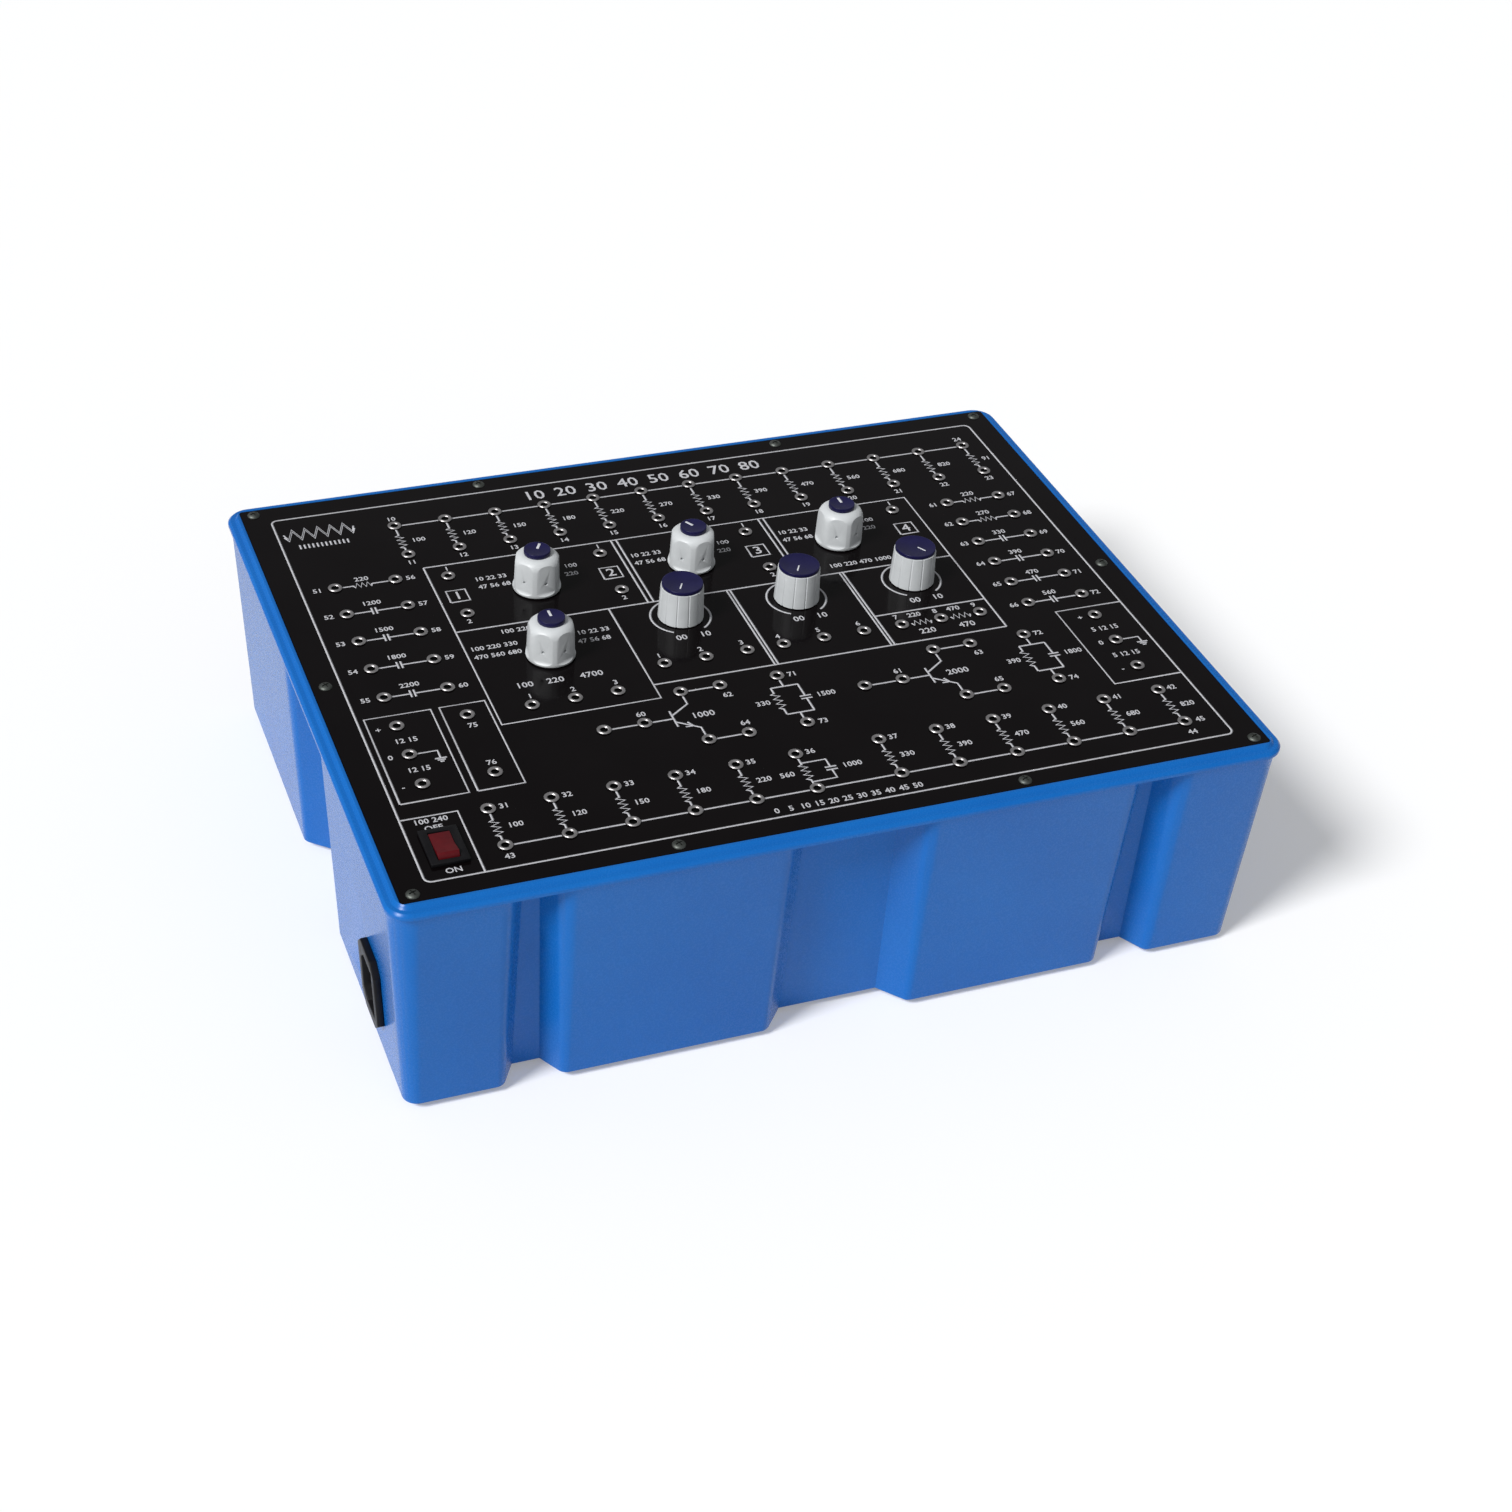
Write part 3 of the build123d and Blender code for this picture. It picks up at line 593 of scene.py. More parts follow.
selectorShape = {
    "bottom": panelTop + 0.4 * mm, "height": 16.7, "sides": 72,
    "turned": [(9.7, 0.0), (10.15, 0.15), (10.35, 0.6), (10.35, 1.6), (9.95, 12.6), (9.7, 13.9), (9.15, 15.0),
               (8.2, 15.9), (7.0, 16.5), (6.1, 16.7)],  # radius and height of the turned outline
    "flats": 6, "flat": 9.4, "taper": 2.0,  # number, reach and lean of the flats
    "scoop": 1.8, "scoopHeight": 2.6, "scoopSides": 32,  # the rounding at a flat's foot
    "cutWidth": 14.0, "cutRise": 18.0,
    "holeRadius": 0.7, "holeHeight": 6.6, "holeDepth": 2.4, "holeSides": 20, "holeTurns": [180, 240],
    "edge": 0.35, "edgeSteps": 3, "edgeAngle": 25, "smooth": 30,
    "cap": {"radius": 5.7, "height": 2.0}, "pointer": {"start": 0.3, "end": 4.4, "width": 1.1},
}
selectorTurns = [(30, 22), (0, 8), (-30, 18), (0, 0)]  # degrees of each pointer and of its grip
gripCorner = 30  # degrees, where the grip's corner opposite its set screws points
# Radius and depth of the recess over the nut, and of the shaft's bore
gripBores = {"sides": 32, "sizes": [(7.9, 1.8), (3.1, 11.6)]}
capShape = {"sides": 64, "groove": 0.5, "step": 0.25, "sink": 0.12, "edge": 0.18, "steps": 3, "smooth": 50}
pointerShape = {"thickness": 0.14, "sink": 0.04, "edge": 0.05, "steps": 2, "smooth": 40}
sharpEdge = 40  # degrees, from which a cap's or a pointer's edge is rounded


def makeSelectorGrip():
    # A turned body with six flats cut into it, each with a scooped foot.
    shape = selectorShape
    bottom, rings = shape["bottom"], shape["turned"]
    grip = turnUp(shape["sides"], rings[0][0], bottom, rings[1:])
    settle(grip, "grip")
    scoop, rise = shape["scoop"], shape["cutRise"]
    bpy.ops.mesh.primitive_cylinder_add(
        vertices=shape["scoopSides"], radius=scoop * mm, depth=shape["cutWidth"] * mm,
        rotation=(math.pi / 2, 0, 0),
        location=((shape["flat"] + scoop) * mm, 0, bottom + shape["scoopHeight"] * mm))
    cutter = bpy.context.active_object
    settle(cutter, "cutter")
    startEdit(cutter, "VERT")
    pickVerts(cutter, lambda co: co.z > bottom + (shape["scoopHeight"] + 0.01) * mm)
    lean = rise * math.tan(math.radians(shape["taper"]))
    bpy.ops.transform.translate(value=(-lean * mm, 0, rise * mm))
    endEdit()
    for flat in range(shape["flats"]):
        tool = copyAt(cutter, 0, 0)
        tool.rotation_euler = (0, 0, math.radians(360 / shape["flats"] * flat))
        cutWith(grip, tool)
    bpy.data.objects.remove(cutter)
    # Two small holes for set screws, either side of the corner opposite the pointer
    for turn in shape["holeTurns"]:
        angle = math.radians(turn)
        reach = shape["flat"] * mm
        bpy.ops.mesh.primitive_cylinder_add(
            vertices=shape["holeSides"], radius=shape["holeRadius"] * mm, depth=shape["holeDepth"] * mm,
            location=(reach * math.cos(angle), reach * math.sin(angle), bottom + shape["holeHeight"] * mm),
            rotation=(0, math.pi / 2, angle))
        cutWith(grip, bpy.context.active_object)
    hollowGrip(grip, bottom)
    addBevel(grip, shape["edge"] * mm, shape["edgeSteps"], shape["edgeAngle"])
    smooth(grip, shape["smooth"])
    dress(grip, knobPlastic)
    return grip


def hollowGrip(grip, bottom):
    # The recess over the nut, and the bore for the shaft.
    for radius, depth in gripBores["sizes"]:
        bpy.ops.mesh.primitive_cylinder_add(vertices=gripBores["sides"], radius=radius * mm,
                                            depth=depth * 2 * mm, location=(0, 0, bottom))
        cutWith(grip, bpy.context.active_object)


def placeSelectorKnob(master, number, place, turn, gripTurn):
    shape = selectorShape
    grip = copyAt(master, place[0] * mm, place[1] * mm)
    grip.rotation_euler = (0, 0, math.radians(90 - gripTurn - gripCorner))
    settle(grip, f"selector_grip_{number}")
    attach(grip, f"selector_{number}")
    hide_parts(f"selector_knob_{number}")
    capKnob("selector", number, place, turn, shape["bottom"] + shape["height"] * mm, shape)


def capKnob(kind, number, place, turn, top, shape):
    body = f"{kind}_{number}"
    makeCap(f"{kind}_lid_{number}", f"{kind}_cap_{number}", body, place, top, shape["cap"])
    level = top + shape["cap"]["height"] * mm
    makePointer(f"{kind}_pointer_{number}", body, place, turn, level, shape["pointer"])


def makeCap(name, node, body, place, base, size):
    bpy.ops.mesh.primitive_cylinder_add(
        vertices=capShape["sides"], radius=size["radius"] * mm, depth=size["height"] * mm,
        location=(place[0] * mm, place[1] * mm, base + size["height"] / 2 * mm))
    cap = bpy.context.active_object
    settle(cap, name)
    startEdit(cap)
    pickFaces(cap, lambda middle, normal: normal.z > 0.9)
    bpy.ops.mesh.inset(thickness=capShape["groove"] * mm)
    bpy.ops.mesh.inset(thickness=capShape["step"] * mm)
    bpy.ops.transform.translate(value=(0, 0, -capShape["sink"] * mm))
    endEdit()
    addBevel(cap, capShape["edge"] * mm, capShape["steps"], sharpEdge)
    smooth(cap, capShape["smooth"])
    dress(cap, capPlastic)
    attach(cap, body)
    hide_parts(node)


def makePointer(name, body, place, turn, level, size):
    # A painted line from near the cap's middle towards its edge.
    angle = math.radians(90 - turn)
    middle = (size["start"] + size["end"]) / 2 * mm
    bpy.ops.mesh.primitive_cube_add(
        size=1, rotation=(0, 0, angle),
        location=(place[0] * mm + middle * math.cos(angle), place[1] * mm + middle * math.sin(angle),
                  level - pointerShape["sink"] * mm))
    line = bpy.context.active_object
    length = size["end"] - size["start"]
    line.scale = (length * mm, size["width"] * mm, pointerShape["thickness"] * mm)
    settle(line, name)
    addBevel(line, pointerShape["edge"] * mm, pointerShape["steps"], sharpEdge)
    smooth(line, pointerShape["smooth"])
    dress(line, pointerPaint)
    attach(line, body)


master = makeSelectorGrip()
for number, (place, (turn, gripTurn)) in enumerate(zip(selectorPlaces, selectorTurns), 1):
    placeSelectorKnob(master, number, place, turn, gripTurn)
bpy.data.objects.remove(master)
print("selector knobs made")


# Dial knobs: round, with fine flutes

dialShape = {
    "bottom": panelTop + 0.4 * mm, "height": 15.1, "sides": 144, "radius": 9.75, "topRadius": 9.06,
    "rim": 0.45, "flutes": 12, "fluteDepth": 0.34, "fluteReach": 1.3, "fluteInside": 0.98,
    "edge": 0.25, "edgeSteps": 2, "edgeAngle": 60, "smooth": 20,
    "cap": {"radius": 8.7, "height": 1.6}, "pointer": {"start": 1.2, "end": 5.4, "width": 0.6},
}
dialTurns = [-150, -150, 150]  # degrees of each pointer


def onFlute(co):
    # The points close to one of the evenly spaced flutes.
    shape = dialShape
    if math.hypot(co.x, co.y) < shape["topRadius"] * shape["fluteInside"] * mm:
        return False
    pace = 2 * math.pi / shape["flutes"]
    off = (math.atan2(co.y, co.x) + pace / 2) % pace - pace / 2
    return abs(off) < math.radians(shape["fluteReach"])


def makeDialKnob(number, place, turn):
    shape = dialShape
    bottom, height = shape["bottom"], shape["height"] * mm
    bpy.ops.mesh.primitive_cylinder_add(vertices=shape["sides"], radius=shape["radius"] * mm, depth=height,
                                        location=(0, 0, bottom + height / 2))
    knob = bpy.context.active_object
    settle(knob, "knob")
    startEdit(knob)
    pickFaces(knob, lambda middle, normal: normal.z > 0.9)
    ratio = shape["topRadius"] / shape["radius"]
    bpy.ops.transform.resize(value=(ratio, ratio, 1), center_override=(0, 0, bottom))
    bpy.ops.mesh.inset(thickness=shape["rim"] * mm)
    endEdit()
    startEdit(knob, "VERT")
    pickVerts(knob, onFlute)
    ratio = 1 - shape["fluteDepth"] / shape["radius"]
    bpy.ops.transform.resize(value=(ratio, ratio, 1), center_override=(0, 0, bottom))
    endEdit()
    hollowGrip(knob, bottom)
    addBevel(knob, shape["edge"] * mm, shape["edgeSteps"], shape["edgeAngle"])
    smooth(knob, shape["smooth"])
    dress(knob, knobPlastic)
    knob.location = (place[0] * mm, place[1] * mm, 0)
    settle(knob, f"dial_grip_{number}")
    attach(knob, f"dial_{number}")
    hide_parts(f"dial_knob_{number}")
    capKnob("dial", number, place, turn, bottom + height, shape)


for number, (place, turn) in enumerate(zip(dialPlaces, dialTurns), 1):
    makeDialKnob(number, place, turn)
print("dial knobs made")


# Rocker switch and mains inlet

finishedPieces = {
    "rocker": {"name": "rocker_key", "body": "rocker_lever", "slot": "rocker_plastic", "look": rockerRed,
               "width": 0.35, "steps": 3, "angle": 35, "smooth": 40},
    "rocker_housing": {"name": "rocker_bezel", "body": "case", "slot": "housing_plastic",
                       "look": blackPlastic, "width": 0.3, "steps": 2, "angle": 40, "smooth": 40},
    "mains_inlet": {"name": "inlet_shell", "body": "case", "slot": "inlet_plastic", "look": blackPlastic,
                    "width": 0.5, "steps": 3, "angle": 40, "smooth": 40},
    "inlet_blades": {"name": "inlet_pins", "body": "case", "slot": "blade_metal", "look": nickel,
                     "width": 0.3, "steps": 2, "angle": 40, "smooth": 40},
}
for node, setup in finishedPieces.items():
    piece = finishNode(node, setup["name"], setup)
    dress(piece, setup["look"])
    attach(piece, setup["body"])
    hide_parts(node)
print("switch and inlet made")


# Pieces inside the case keep their CAD shape

insideLooks = {
    "control_nuts": dullSteel, "transformer_core": coreVarnish, "transformer_winding": windingTape,
    "board_pillars": creamLacquer, "supply_board": laminate, "circuit_board": laminate,
    "filter_capacitors": sleevePlastic, "regulators": blackPlastic, "board_resistors": creamLacquer,
    "board_capacitors": filmPlastic, "board_transistors": dullSteel,
}
for number in range(1, 5):
    insideLooks[f"selector_switch_{number}"] = blackPlastic
    insideLooks[f"selector_shaft_{number}"] = dullSteel
for number in range(1, 4):
    insideLooks[f"potentiometer_{number}"] = dullSteel
    insideLooks[f"potentiometer_shaft_{number}"] = dullSteel
for name, material in insideLooks.items():
    dress(nodes[name], material)
print("inside pieces dressed")


# Printed circuit drawing on the panel

legendShape = {
    "line": 0.52, "lift": 0.03, "thickness": 0.10, "socketGap": 2.2,
    "text": 3.6, "rowText": 4.3, "knobText": 3.5, "scaleText": 8.8, "footText": 3.7, "boxText": 7.0,
    "textScale": 1.15, "textRise": 0.02, "textSwell": 0.07,
}
socketCentres = [Vector(place) for places in socketPlaces.values() for place in places]
strokes = []  # each is a list of points in millimetres
words = []  # text, x, y, size


def cutsAlong(start, run):
    # Shares of a straight run that lie over a socket, in order.
    cuts = []
    for centre in socketCentres:
        along = (centre - start).dot(run) / run.length_squared
        aside = (start + run * along - centre).length
        if aside < legendShape["socketGap"]:
            half = math.sqrt(legendShape["socketGap"] ** 2 - aside ** 2) / run.length
            if along + half > 0 and along - half < 1:
                cuts.append((along - half, along + half))
    return sorted(cuts)


def line(*points):
    # A stroke without the parts that would show in a socket's bore.
    piece = [points[0]]
    for start, end in zip(points, points[1:]):
        run = Vector(end) - Vector(start)
        for low, high in cutsAlong(Vector(start), run):
            if piece and low > 0:
                strokes.append(piece + [Vector(start) + run * low])
            piece = [Vector(start) + run * high] if high < 1 else []
        if piece:
            piece.append(end)
    if len(piece) > 1:
        strokes.append(piece)


def box(x1, y1, x2, y2):
    line((x1, y1), (x2, y1), (x2, y2), (x1, y2), (x1, y1))


def write(text, x, y, size="text"):
    words.append((text, x, y, legendShape[size]))


def zigzag(x, y, length, upright=True, reach=1.7, steps=7):
    # Resistor symbol centred on a point.
    points = [(0, -length / 2)]
    for step in range(steps):
        along = -length / 2 + (step + 0.5) * length / steps
        points.append((reach if step % 2 else -reach, along))
    points.append((0, length / 2))
    stroke = [(x + a, y + b) if upright else (x + b, y + a) for a, b in points]
    strokes.append(stroke)


def plates(x, y, gap, half, upright=False):
    # Capacitor symbol centred on a point; upright means that its leads run up and down.
    for side in (-gap / 2, gap / 2):
        if upright:
            line((x - half, y + side), (x + half, y + side))
        else:
            line((x + side, y - half), (x + side, y + half))


def ground(x, y, halves=(2.4, 1.6, 0.8), pitch=1.1):
    for step, half in enumerate(halves):
        line((x - half, y - step * pitch), (x + half, y - step * pitch))


def arcPoints(x, y, radius, start, end, count):
    angles = [math.radians(start + (end - start) * n / count) for n in range(count + 1)]
    return [(x + radius * math.cos(angle), y + radius * math.sin(angle)) for angle in angles]


def roundBox(x1, y1, x2, y2, radius, count):
    points = []
    corners = ((x2 - radius, y2 - radius, 0), (x1 + radius, y2 - radius, 90),
               (x1 + radius, y1 + radius, 180), (x2 - radius, y1 + radius, 270))
    for x, y, start in corners:
        points += arcPoints(x, y, radius, start, start + 90, count)
    line(*points, points[0])


def ticks(x1, x2, y, count, height):
    # A plain row of short upright strokes.
    for n in range(count):
        x = x1 + (x2 - x1) * n / (count - 1)
        line((x, y - height / 2), (x, y + height / 2))


# Borders and boxes
borderShape = {
    "frame": (-168.3, -129.8, 168.3, 128.2), "corner": 2.8, "cornerSteps": 6,
    "top": 74.5, "middle": 23.5, "bottom": -34.25,
    "upperDividers": [-29.25, -26.8, 40.05, 42.5], "lowerDividers": [6.15, 7.65, 58.65, 60.15],
    "boxes": [(-165.4, -82.4, -138.2, -26.1), (-134.7, -82.4, -115.9, -26.1)],
    "lines": [
        [(-113.9, 74.5), (111.8, 74.5), (111.8, -34.25)],
        [(-113.9, 74.5), (-113.9, -43.8), (-47.1, -43.8), (-47.1, 23.5)],
        [(-113.9, 23.5), (111.8, 23.5)],
        [(-47.1, -34.25), (111.8, -34.25)],
        [(168.3, -30.0), (137.1, -30.0), (137.1, -85.3), (168.3, -85.3)],
        [(-168.3, -92.0), (-145.6, -92.0), (-145.6, -129.8)],
    ],
}
roundBox(*borderShape["frame"], borderShape["corner"], borderShape["cornerSteps"])
for points in borderShape["lines"]:
    line(*points)
for x in borderShape["upperDividers"]:
    line((x, borderShape["middle"]), (x, borderShape["top"]))
for x in borderShape["lowerDividers"]:
    line((x, borderShape["middle"]), (x, borderShape["bottom"]))
for sides in borderShape["boxes"]:
    box(*sides)

# Plain marks: a numbered scale along each long side, a zigzag and a row of ticks
scaleShape = {
    "upper": {"count": 8, "step": 10, "from": 10, "start": -50.6, "pitch": 14.8, "level": 119.4},
    "lower": {"count": 11, "step": 5, "from": 0, "start": -29.0, "pitch": 5.9, "level": -126.0},
    "zigzag": {"x": -150.0, "levels": [113.7, 115.5], "length": 31.0, "reach": 3.8, "steps": 11},
    "ticks": (-160.5, -139.5, 104.4, 12, 3.2),
}
for side, size in (("upper", "scaleText"), ("lower", "footText")):
    shape = scaleShape[side]
    for n in range(shape["count"]):
        number = shape["step"] * n + shape["from"]
        write(str(number), shape["start"] + shape["pitch"] * n, shape["level"], size)
for level in scaleShape["zigzag"]["levels"]:
    shape = scaleShape["zigzag"]
    zigzag(shape["x"], level, shape["length"], False, shape["reach"], shape["steps"])
ticks(*scaleShape["ticks"])

# Top row: one bus line and a resistor below each socket
topRow = {
    "bus": 110.35, "upperLead": 102.6, "part": 97.4, "partLength": 10.4, "lowerLead": (92.2, 86.45),
    "number": (11, 80.2), "value": (7.4, 97.2), "lastValue": 6.2, "ends": [("10", 116.4), ("24", 116.6)],
    "values": ["100", "120", "150", "180", "220", "270", "330", "390", "470", "560", "680", "820", "91"],
}
topColumns = [x for x, y in socketPlaces["top_row"][::2]]
line((topColumns[0], topRow["bus"]), (topColumns[-1], topRow["bus"]))
for n, x in enumerate(topColumns):
    line((x, topRow["bus"]), (x, topRow["upperLead"]))
    zigzag(x, topRow["part"], topRow["partLength"])
    line((x, topRow["lowerLead"][0]), (x, topRow["lowerLead"][1]))
    write(str(n + topRow["number"][0]), x, topRow["number"][1])
    aside = topRow["lastValue"] if n == len(topColumns) - 1 else topRow["value"][0]
    write(topRow["values"][n], x + aside, topRow["value"][1])
for x, (text, level) in zip((topColumns[0], topColumns[-1]), topRow["ends"]):
    write(text, x, level)

# Bottom row: upper sockets, a part each, and the bus line
bottomRow = {
    "bus": -117.25, "upperLead": (-94.35, -101.2), "part": -106.2, "partLength": 10.0, "lowerLead": -111.2,
    "number": (31, 6.4, -93.9), "value": (7.4, -106.0),
    "values": ["100", "120", "150", "180", "220", None, "330", "390", "470", "560", "680", "820"],
    "twinColumn": 5, "twinAside": 10.4, "twinLevels": [-100.2, -105.3, -107.1, -112.6],
    "twinGap": 1.8, "plateHalf": 2.4, "twinValues": [("560", -8.0), ("1000", 19.4)],
    # Text, column, aside and level
    "ends": [("43", 0, 0, -123.6), ("44", -1, 0, -124.3), ("45", -1, 7.2, -117.3)],
}
bottomColumns = [x for x, y in socketPlaces["bottom_row"][::2]]
line((bottomColumns[0], bottomRow["bus"]), (bottomColumns[-1], bottomRow["bus"]))
for n, x in enumerate(bottomColumns):
    line((x, bottomRow["upperLead"][0]), (x, bottomRow["upperLead"][1]))
    zigzag(x, bottomRow["part"], bottomRow["partLength"])
    line((x, bottomRow["lowerLead"]), (x, bottomRow["bus"]))
    first, aside, level = bottomRow["number"]
    write(str(n + first), x + aside, level)
    aside, level = bottomRow["value"]
    if n != bottomRow["twinColumn"]:
        write(bottomRow["values"][n], x + aside, level)
        continue
    # This column has a capacitor beside its resistor
    side = x + bottomRow["twinAside"]
    top, above, below, foot = bottomRow["twinLevels"]
    line((x, top), (side, top), (side, above))
    plates(side, bottomRow["part"], bottomRow["twinGap"], bottomRow["plateHalf"], upright=True)
    line((side, below), (side, foot), (x, foot))
    for value, offset in bottomRow["twinValues"]:
        write(value, x + offset, level)
for text, column, aside, level in bottomRow["ends"]:
    write(text, bottomColumns[column] + aside, level)

# Left and right columns: a part between two sockets
columnShapes = [
    {"top": 68.7, "pitch": 20.6, "sockets": (-154.0, -127.8), "leads": (-146.0, -138.0),
     "resistors": 1, "resistor": (-142.0, 8.0), "capacitor": -142.1, "sides": (-142.9, -141.3),
     "numbers": [(51, -161.6), (56, -121.2)],
     "values": [("220", -141.6, 4.4)] + [(value, -142.0, 6.0) for value in ("1200", "1500", "1800", "2200")]},
    {"top": 64.6, "pitch": 17.0, "sockets": (128.6, 154.4), "leads": (136.6, 145.4),
     "resistors": 2, "resistor": (141.0, 8.8), "capacitor": 141.0, "sides": (140.2, 141.8),
     "numbers": [(61, 121.9), (67, 161.0)],
     "values": [(value, 141.2, 5.2) for value in ("220", "270", "330", "390", "470", "560")]},
]
platesShape = {"gap": 1.7, "half": 2.4}
for shape in columnShapes:
    for n, (value, valueX, lift) in enumerate(shape["values"]):
        y = shape["top"] - n * shape["pitch"]
        left, right = shape["leads"]
        line((shape["sockets"][0], y), (left, y))
        line((right, y), (shape["sockets"][1], y))
        if n < shape["resistors"]:
            zigzag(shape["resistor"][0], y, shape["resistor"][1], upright=False)
        else:
            line((left, y), (shape["sides"][0], y))
            line((shape["sides"][1], y), (right, y))
            plates(shape["capacitor"], y, platesShape["gap"], platesShape["half"])
        for first, x in shape["numbers"]:
            write(str(first + n), x, y)
        write(value, valueX, y + lift)

# Selector boxes: a numbered box between two sockets, and rows of numbers beside each knob
boxShape = {
    "half": 4.2, "low": 45.4, "high": 54.2, "middle": 49.8,
    "numbers": [("1", 0.9, 71.2), ("2", -0.6, 29.8)],
}
for n, x in enumerate(boxColumns):
    box(x - boxShape["half"], boxShape["low"], x + boxShape["half"], boxShape["high"])
    write(str(n + 1), x, boxShape["middle"], "boxText")
    for text, aside, level in boxShape["numbers"]:
        write(text, x + aside, level)
rowShape = {"top": 12.2, "pitch": 6.1, "lean": 1.4}
plainRows = {"left": -16.8, "right": 19.0, "texts": [("10 22 33", "100"), ("47 56 68", "220")]}
# The second box is wider, so its rows are longer and stand further out
wideRows = {"left": -20.6, "right": 22.4, "texts": [("100 220 330", "10 22 33"), ("470 560 680", "47 56 68")]}
for (x, y), rows in zip(selectorPlaces, (plainRows, wideRows, plainRows, plainRows)):
    for row, (left, right) in enumerate(rows["texts"]):
        level = y + rowShape["top"] - rowShape["pitch"] * row
        write(left, x + rows["left"], level, "knobText")
        write(right, x + rows["right"] - rowShape["lean"] * row, level, "knobText")
rangeWords = [
    ("100 220 470 1000", 71.0, 29.2, "knobText"), ("100 220", -89.6, 18.6, "knobText"),
    ("1", -97.6, -28.4, "text"), ("2", -79.5, -28.4, "text"), ("3", -61.4, -28.4, "text"),
    ("100", -97.4, -20.4, "rowText"), ("220", -84.4, -20.4, "rowText"), ("4700", -69.0, -20.4, "rowText"),
]
for item in rangeWords:
    write(*item)

# Dials: an open scale, end numbers and three sockets
dialMarks = {
    "scale": {"radius": 12.8, "start": -58, "end": 238, "count": 60},
    "ends": [("00", -4.9), ("10", 5.6)], "endDrop": 15.4,
    "numbers": {"start": -18.6, "pitch": 18.2, "level": -15.4},
    "link": [(60.2, -12.2), (111.8, -12.2)],
    "parts": [(77.9, "220"), (96.1, "470")], "partLevel": -21.4, "partLength": 9.0,
    "lowerValue": -28.2, "upperValue": (-1.0, -15.6),
}
for n, (x, y) in enumerate(dialPlaces):
    scale, numbers = dialMarks["scale"], dialMarks["numbers"]
    strokes.append(arcPoints(x, y, scale["radius"], scale["start"], scale["end"], scale["count"]))
    for text, aside in dialMarks["ends"]:
        write(text, x + aside, y - dialMarks["endDrop"], "rowText")
    for m in range(3):
        write(str(3 * n + m + 1), x + numbers["start"] + numbers["pitch"] * m, numbers["level"])
line(*dialMarks["link"])
for x, value in dialMarks["parts"]:
    zigzag(x, dialMarks["partLevel"], dialMarks["partLength"], upright=False)
    write(value, x, dialMarks["lowerValue"], "rowText")
    write(value, x + dialMarks["upperValue"][0], dialMarks["upperValue"][1])

# Two amplifier stages: the first one's lines and parts, and what is written in each
stageMarks = {
    "lines": [
        [(-76.3, -58.6), (-47.0, -58.6)], [(-47.0, -53.4), (-47.0, -64.2)],
        [(-47.0, -56.6), (-38.3, -50.6), (-38.3, -42.2), (-21.3, -42.2)],
        [(-47.0, -60.8), (-38.3, -67.0), (-38.3, -75.8), (-21.3, -75.8)],
        [(-42.4, -62.2), (-40.6, -65.4), (-44.2, -65.0)],
        [(3.7, -42.2), (3.7, -49.6)], [(-1.9, -49.6), (9.9, -49.6)],
        [(-1.9, -68.2), (9.9, -68.2)], [(3.7, -68.2), (3.7, -75.8)],
        [(-1.9, -49.6), (-1.9, -53.4)], [(-1.9, -64.4), (-1.9, -68.2)],
        [(9.9, -49.6), (9.9, -58.0)], [(9.9, -59.8), (9.9, -68.2)],
    ],
    "resistor": (-1.9, -58.9, 11.0), "capacitor": (9.9, -58.9, 1.8, 2.4),
    "words": [
        (("1000", "2000"), -34.6, -59.0, "rowText"), (("60", "61"), -58.8, -52.4, "text"),
        (("62", "63"), -20.4, -49.0, "text"), (("64", "65"), -20.4, -69.0, "text"),
        (("330", "390"), -8.7, -58.8, "text"), (("1500", "1800"), 18.7, -58.8, "text"),
        (("71", "72"), 10.3, -42.4, "text"), (("73", "74"), 10.5, -76.2, "text"),
    ],
}
for n, shift in enumerate(stageShifts):
    for points in stageMarks["lines"]:
        line(*[(x + shift, y) for x, y in points])
    x, y, length = stageMarks["resistor"]
    zigzag(x + shift, y, length)
    x, y, gap, half = stageMarks["capacitor"]
    plates(x + shift, y, gap, half, upright=True)
    for texts, x, y, size in stageMarks["words"]:
        write(texts[n], x + shift, y, size)

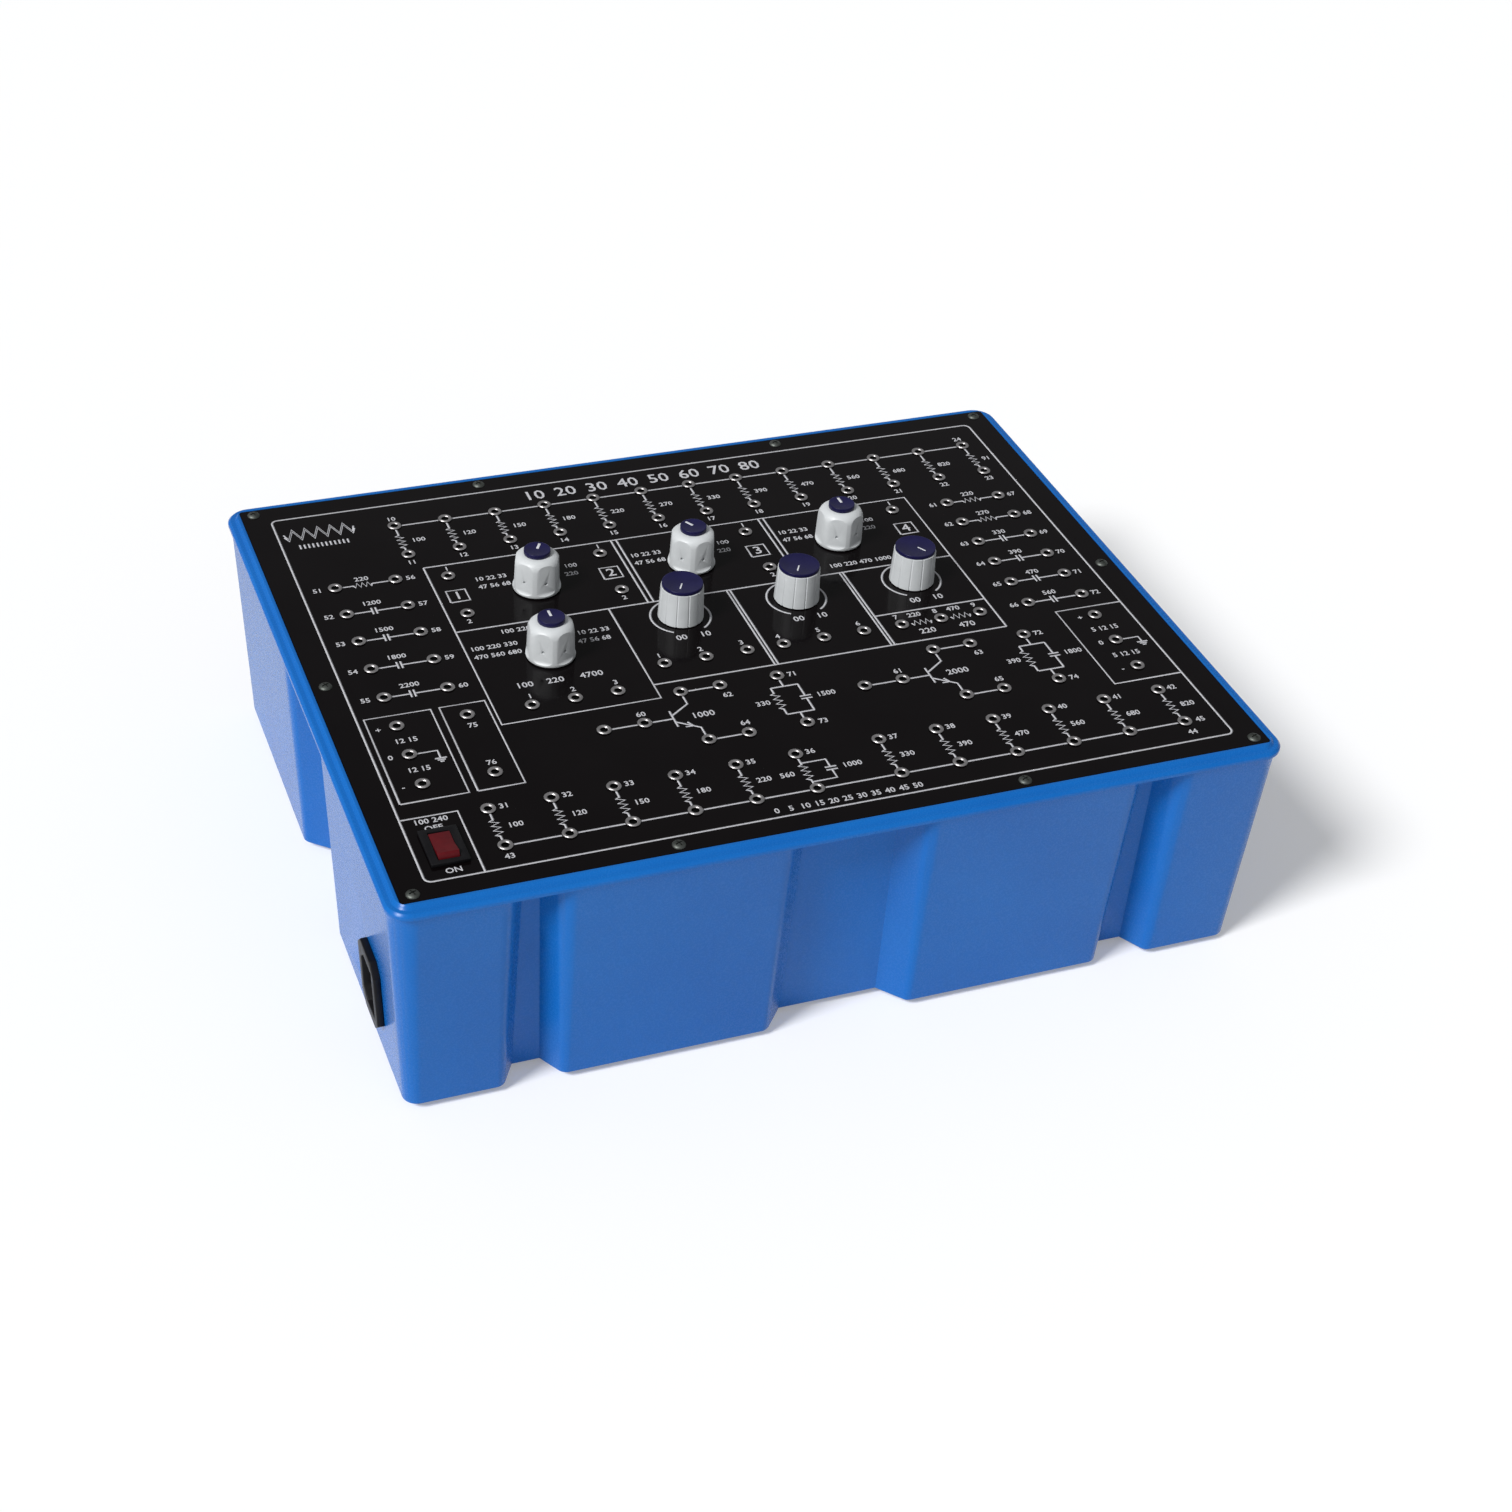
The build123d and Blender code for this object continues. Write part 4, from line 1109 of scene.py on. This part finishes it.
# Supply sockets and the switch
supplyMarks = {
    "words": [
        ("+", -161.6, -34.4), ("0", -161.6, -53.2), ("-", -161.6, -72.6), ("12 15", -152.8, -43.6),
        ("12 15", -152.8, -63.0), ("75", -125.0, -41.0), ("76", -124.8, -66.4), ("+", 145.4, -37.0),
        ("0", 145.4, -56.6), ("-", 145.4, -76.4), ("5 12 15", 152.2, -46.8), ("5 12 15", 152.2, -66.6),
        ("100 240", -157.0, -95.0), ("OFF", -157.0, -99.6), ("ON", -156.4, -125.6),
    ],
    "leads": [
        [(-154.0, -53.1), (-142.8, -53.1), (-142.8, -58.2)],
        [(152.4, -56.4), (163.0, -56.4), (163.0, -60.2)],
    ],
}
for item in supplyMarks["words"]:
    write(*item)
for points in supplyMarks["leads"]:
    line(*points)
    ground(*points[-1])


def drawStrokes(name, lists, width):
    curve = bpy.data.curves.new(name, "CURVE")
    curve.dimensions = "3D"
    curve.bevel_depth = width * mm
    curve.bevel_resolution = 0
    curve.use_fill_caps = True
    for points in lists:
        spline = curve.splines.new("POLY")
        spline.points.add(len(points) - 1)
        for point, (x, y) in zip(spline.points, points):
            point.co = (x * mm, y * mm, 0, 1)
    obj = bpy.data.objects.new(name, curve)
    bpy.context.scene.collection.objects.link(obj)
    pickOnly(obj)
    bpy.ops.object.convert(target="MESH")
    obj = bpy.context.view_layer.objects.active
    obj.scale = (1, 1, legendShape["thickness"] / (2 * width))
    obj.location = (0, 0, panelTop + legendShape["lift"] * mm)
    return settle(obj, name)


def drawWords(name, items):
    made = []
    for text, x, y, size in items:
        bpy.ops.object.text_add(location=(x * mm, y * mm, panelTop + legendShape["lift"] * mm))
        obj = bpy.context.active_object
        obj.data.body = text
        obj.data.size = size * mm * legendShape["textScale"]
        obj.data.align_x = "CENTER"
        obj.data.align_y = "CENTER"
        obj.data.resolution_u = 2
        obj.data.extrude = legendShape["textRise"] * mm
        obj.data.offset = legendShape["textSwell"] * mm
        made.append(obj)
    pickNothing()
    for obj in made:
        obj.select_set(True)
    bpy.context.view_layer.objects.active = made[0]
    bpy.ops.object.convert(target="MESH")
    bpy.ops.object.join()
    return settle(bpy.context.view_layer.objects.active, name)


printed = [drawStrokes("circuit_lines", strokes, legendShape["line"]), drawWords("circuit_numbers", words)]
for piece in printed:
    dress(piece, whitePrint)
    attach(piece, "case")
print("circuit drawing printed")
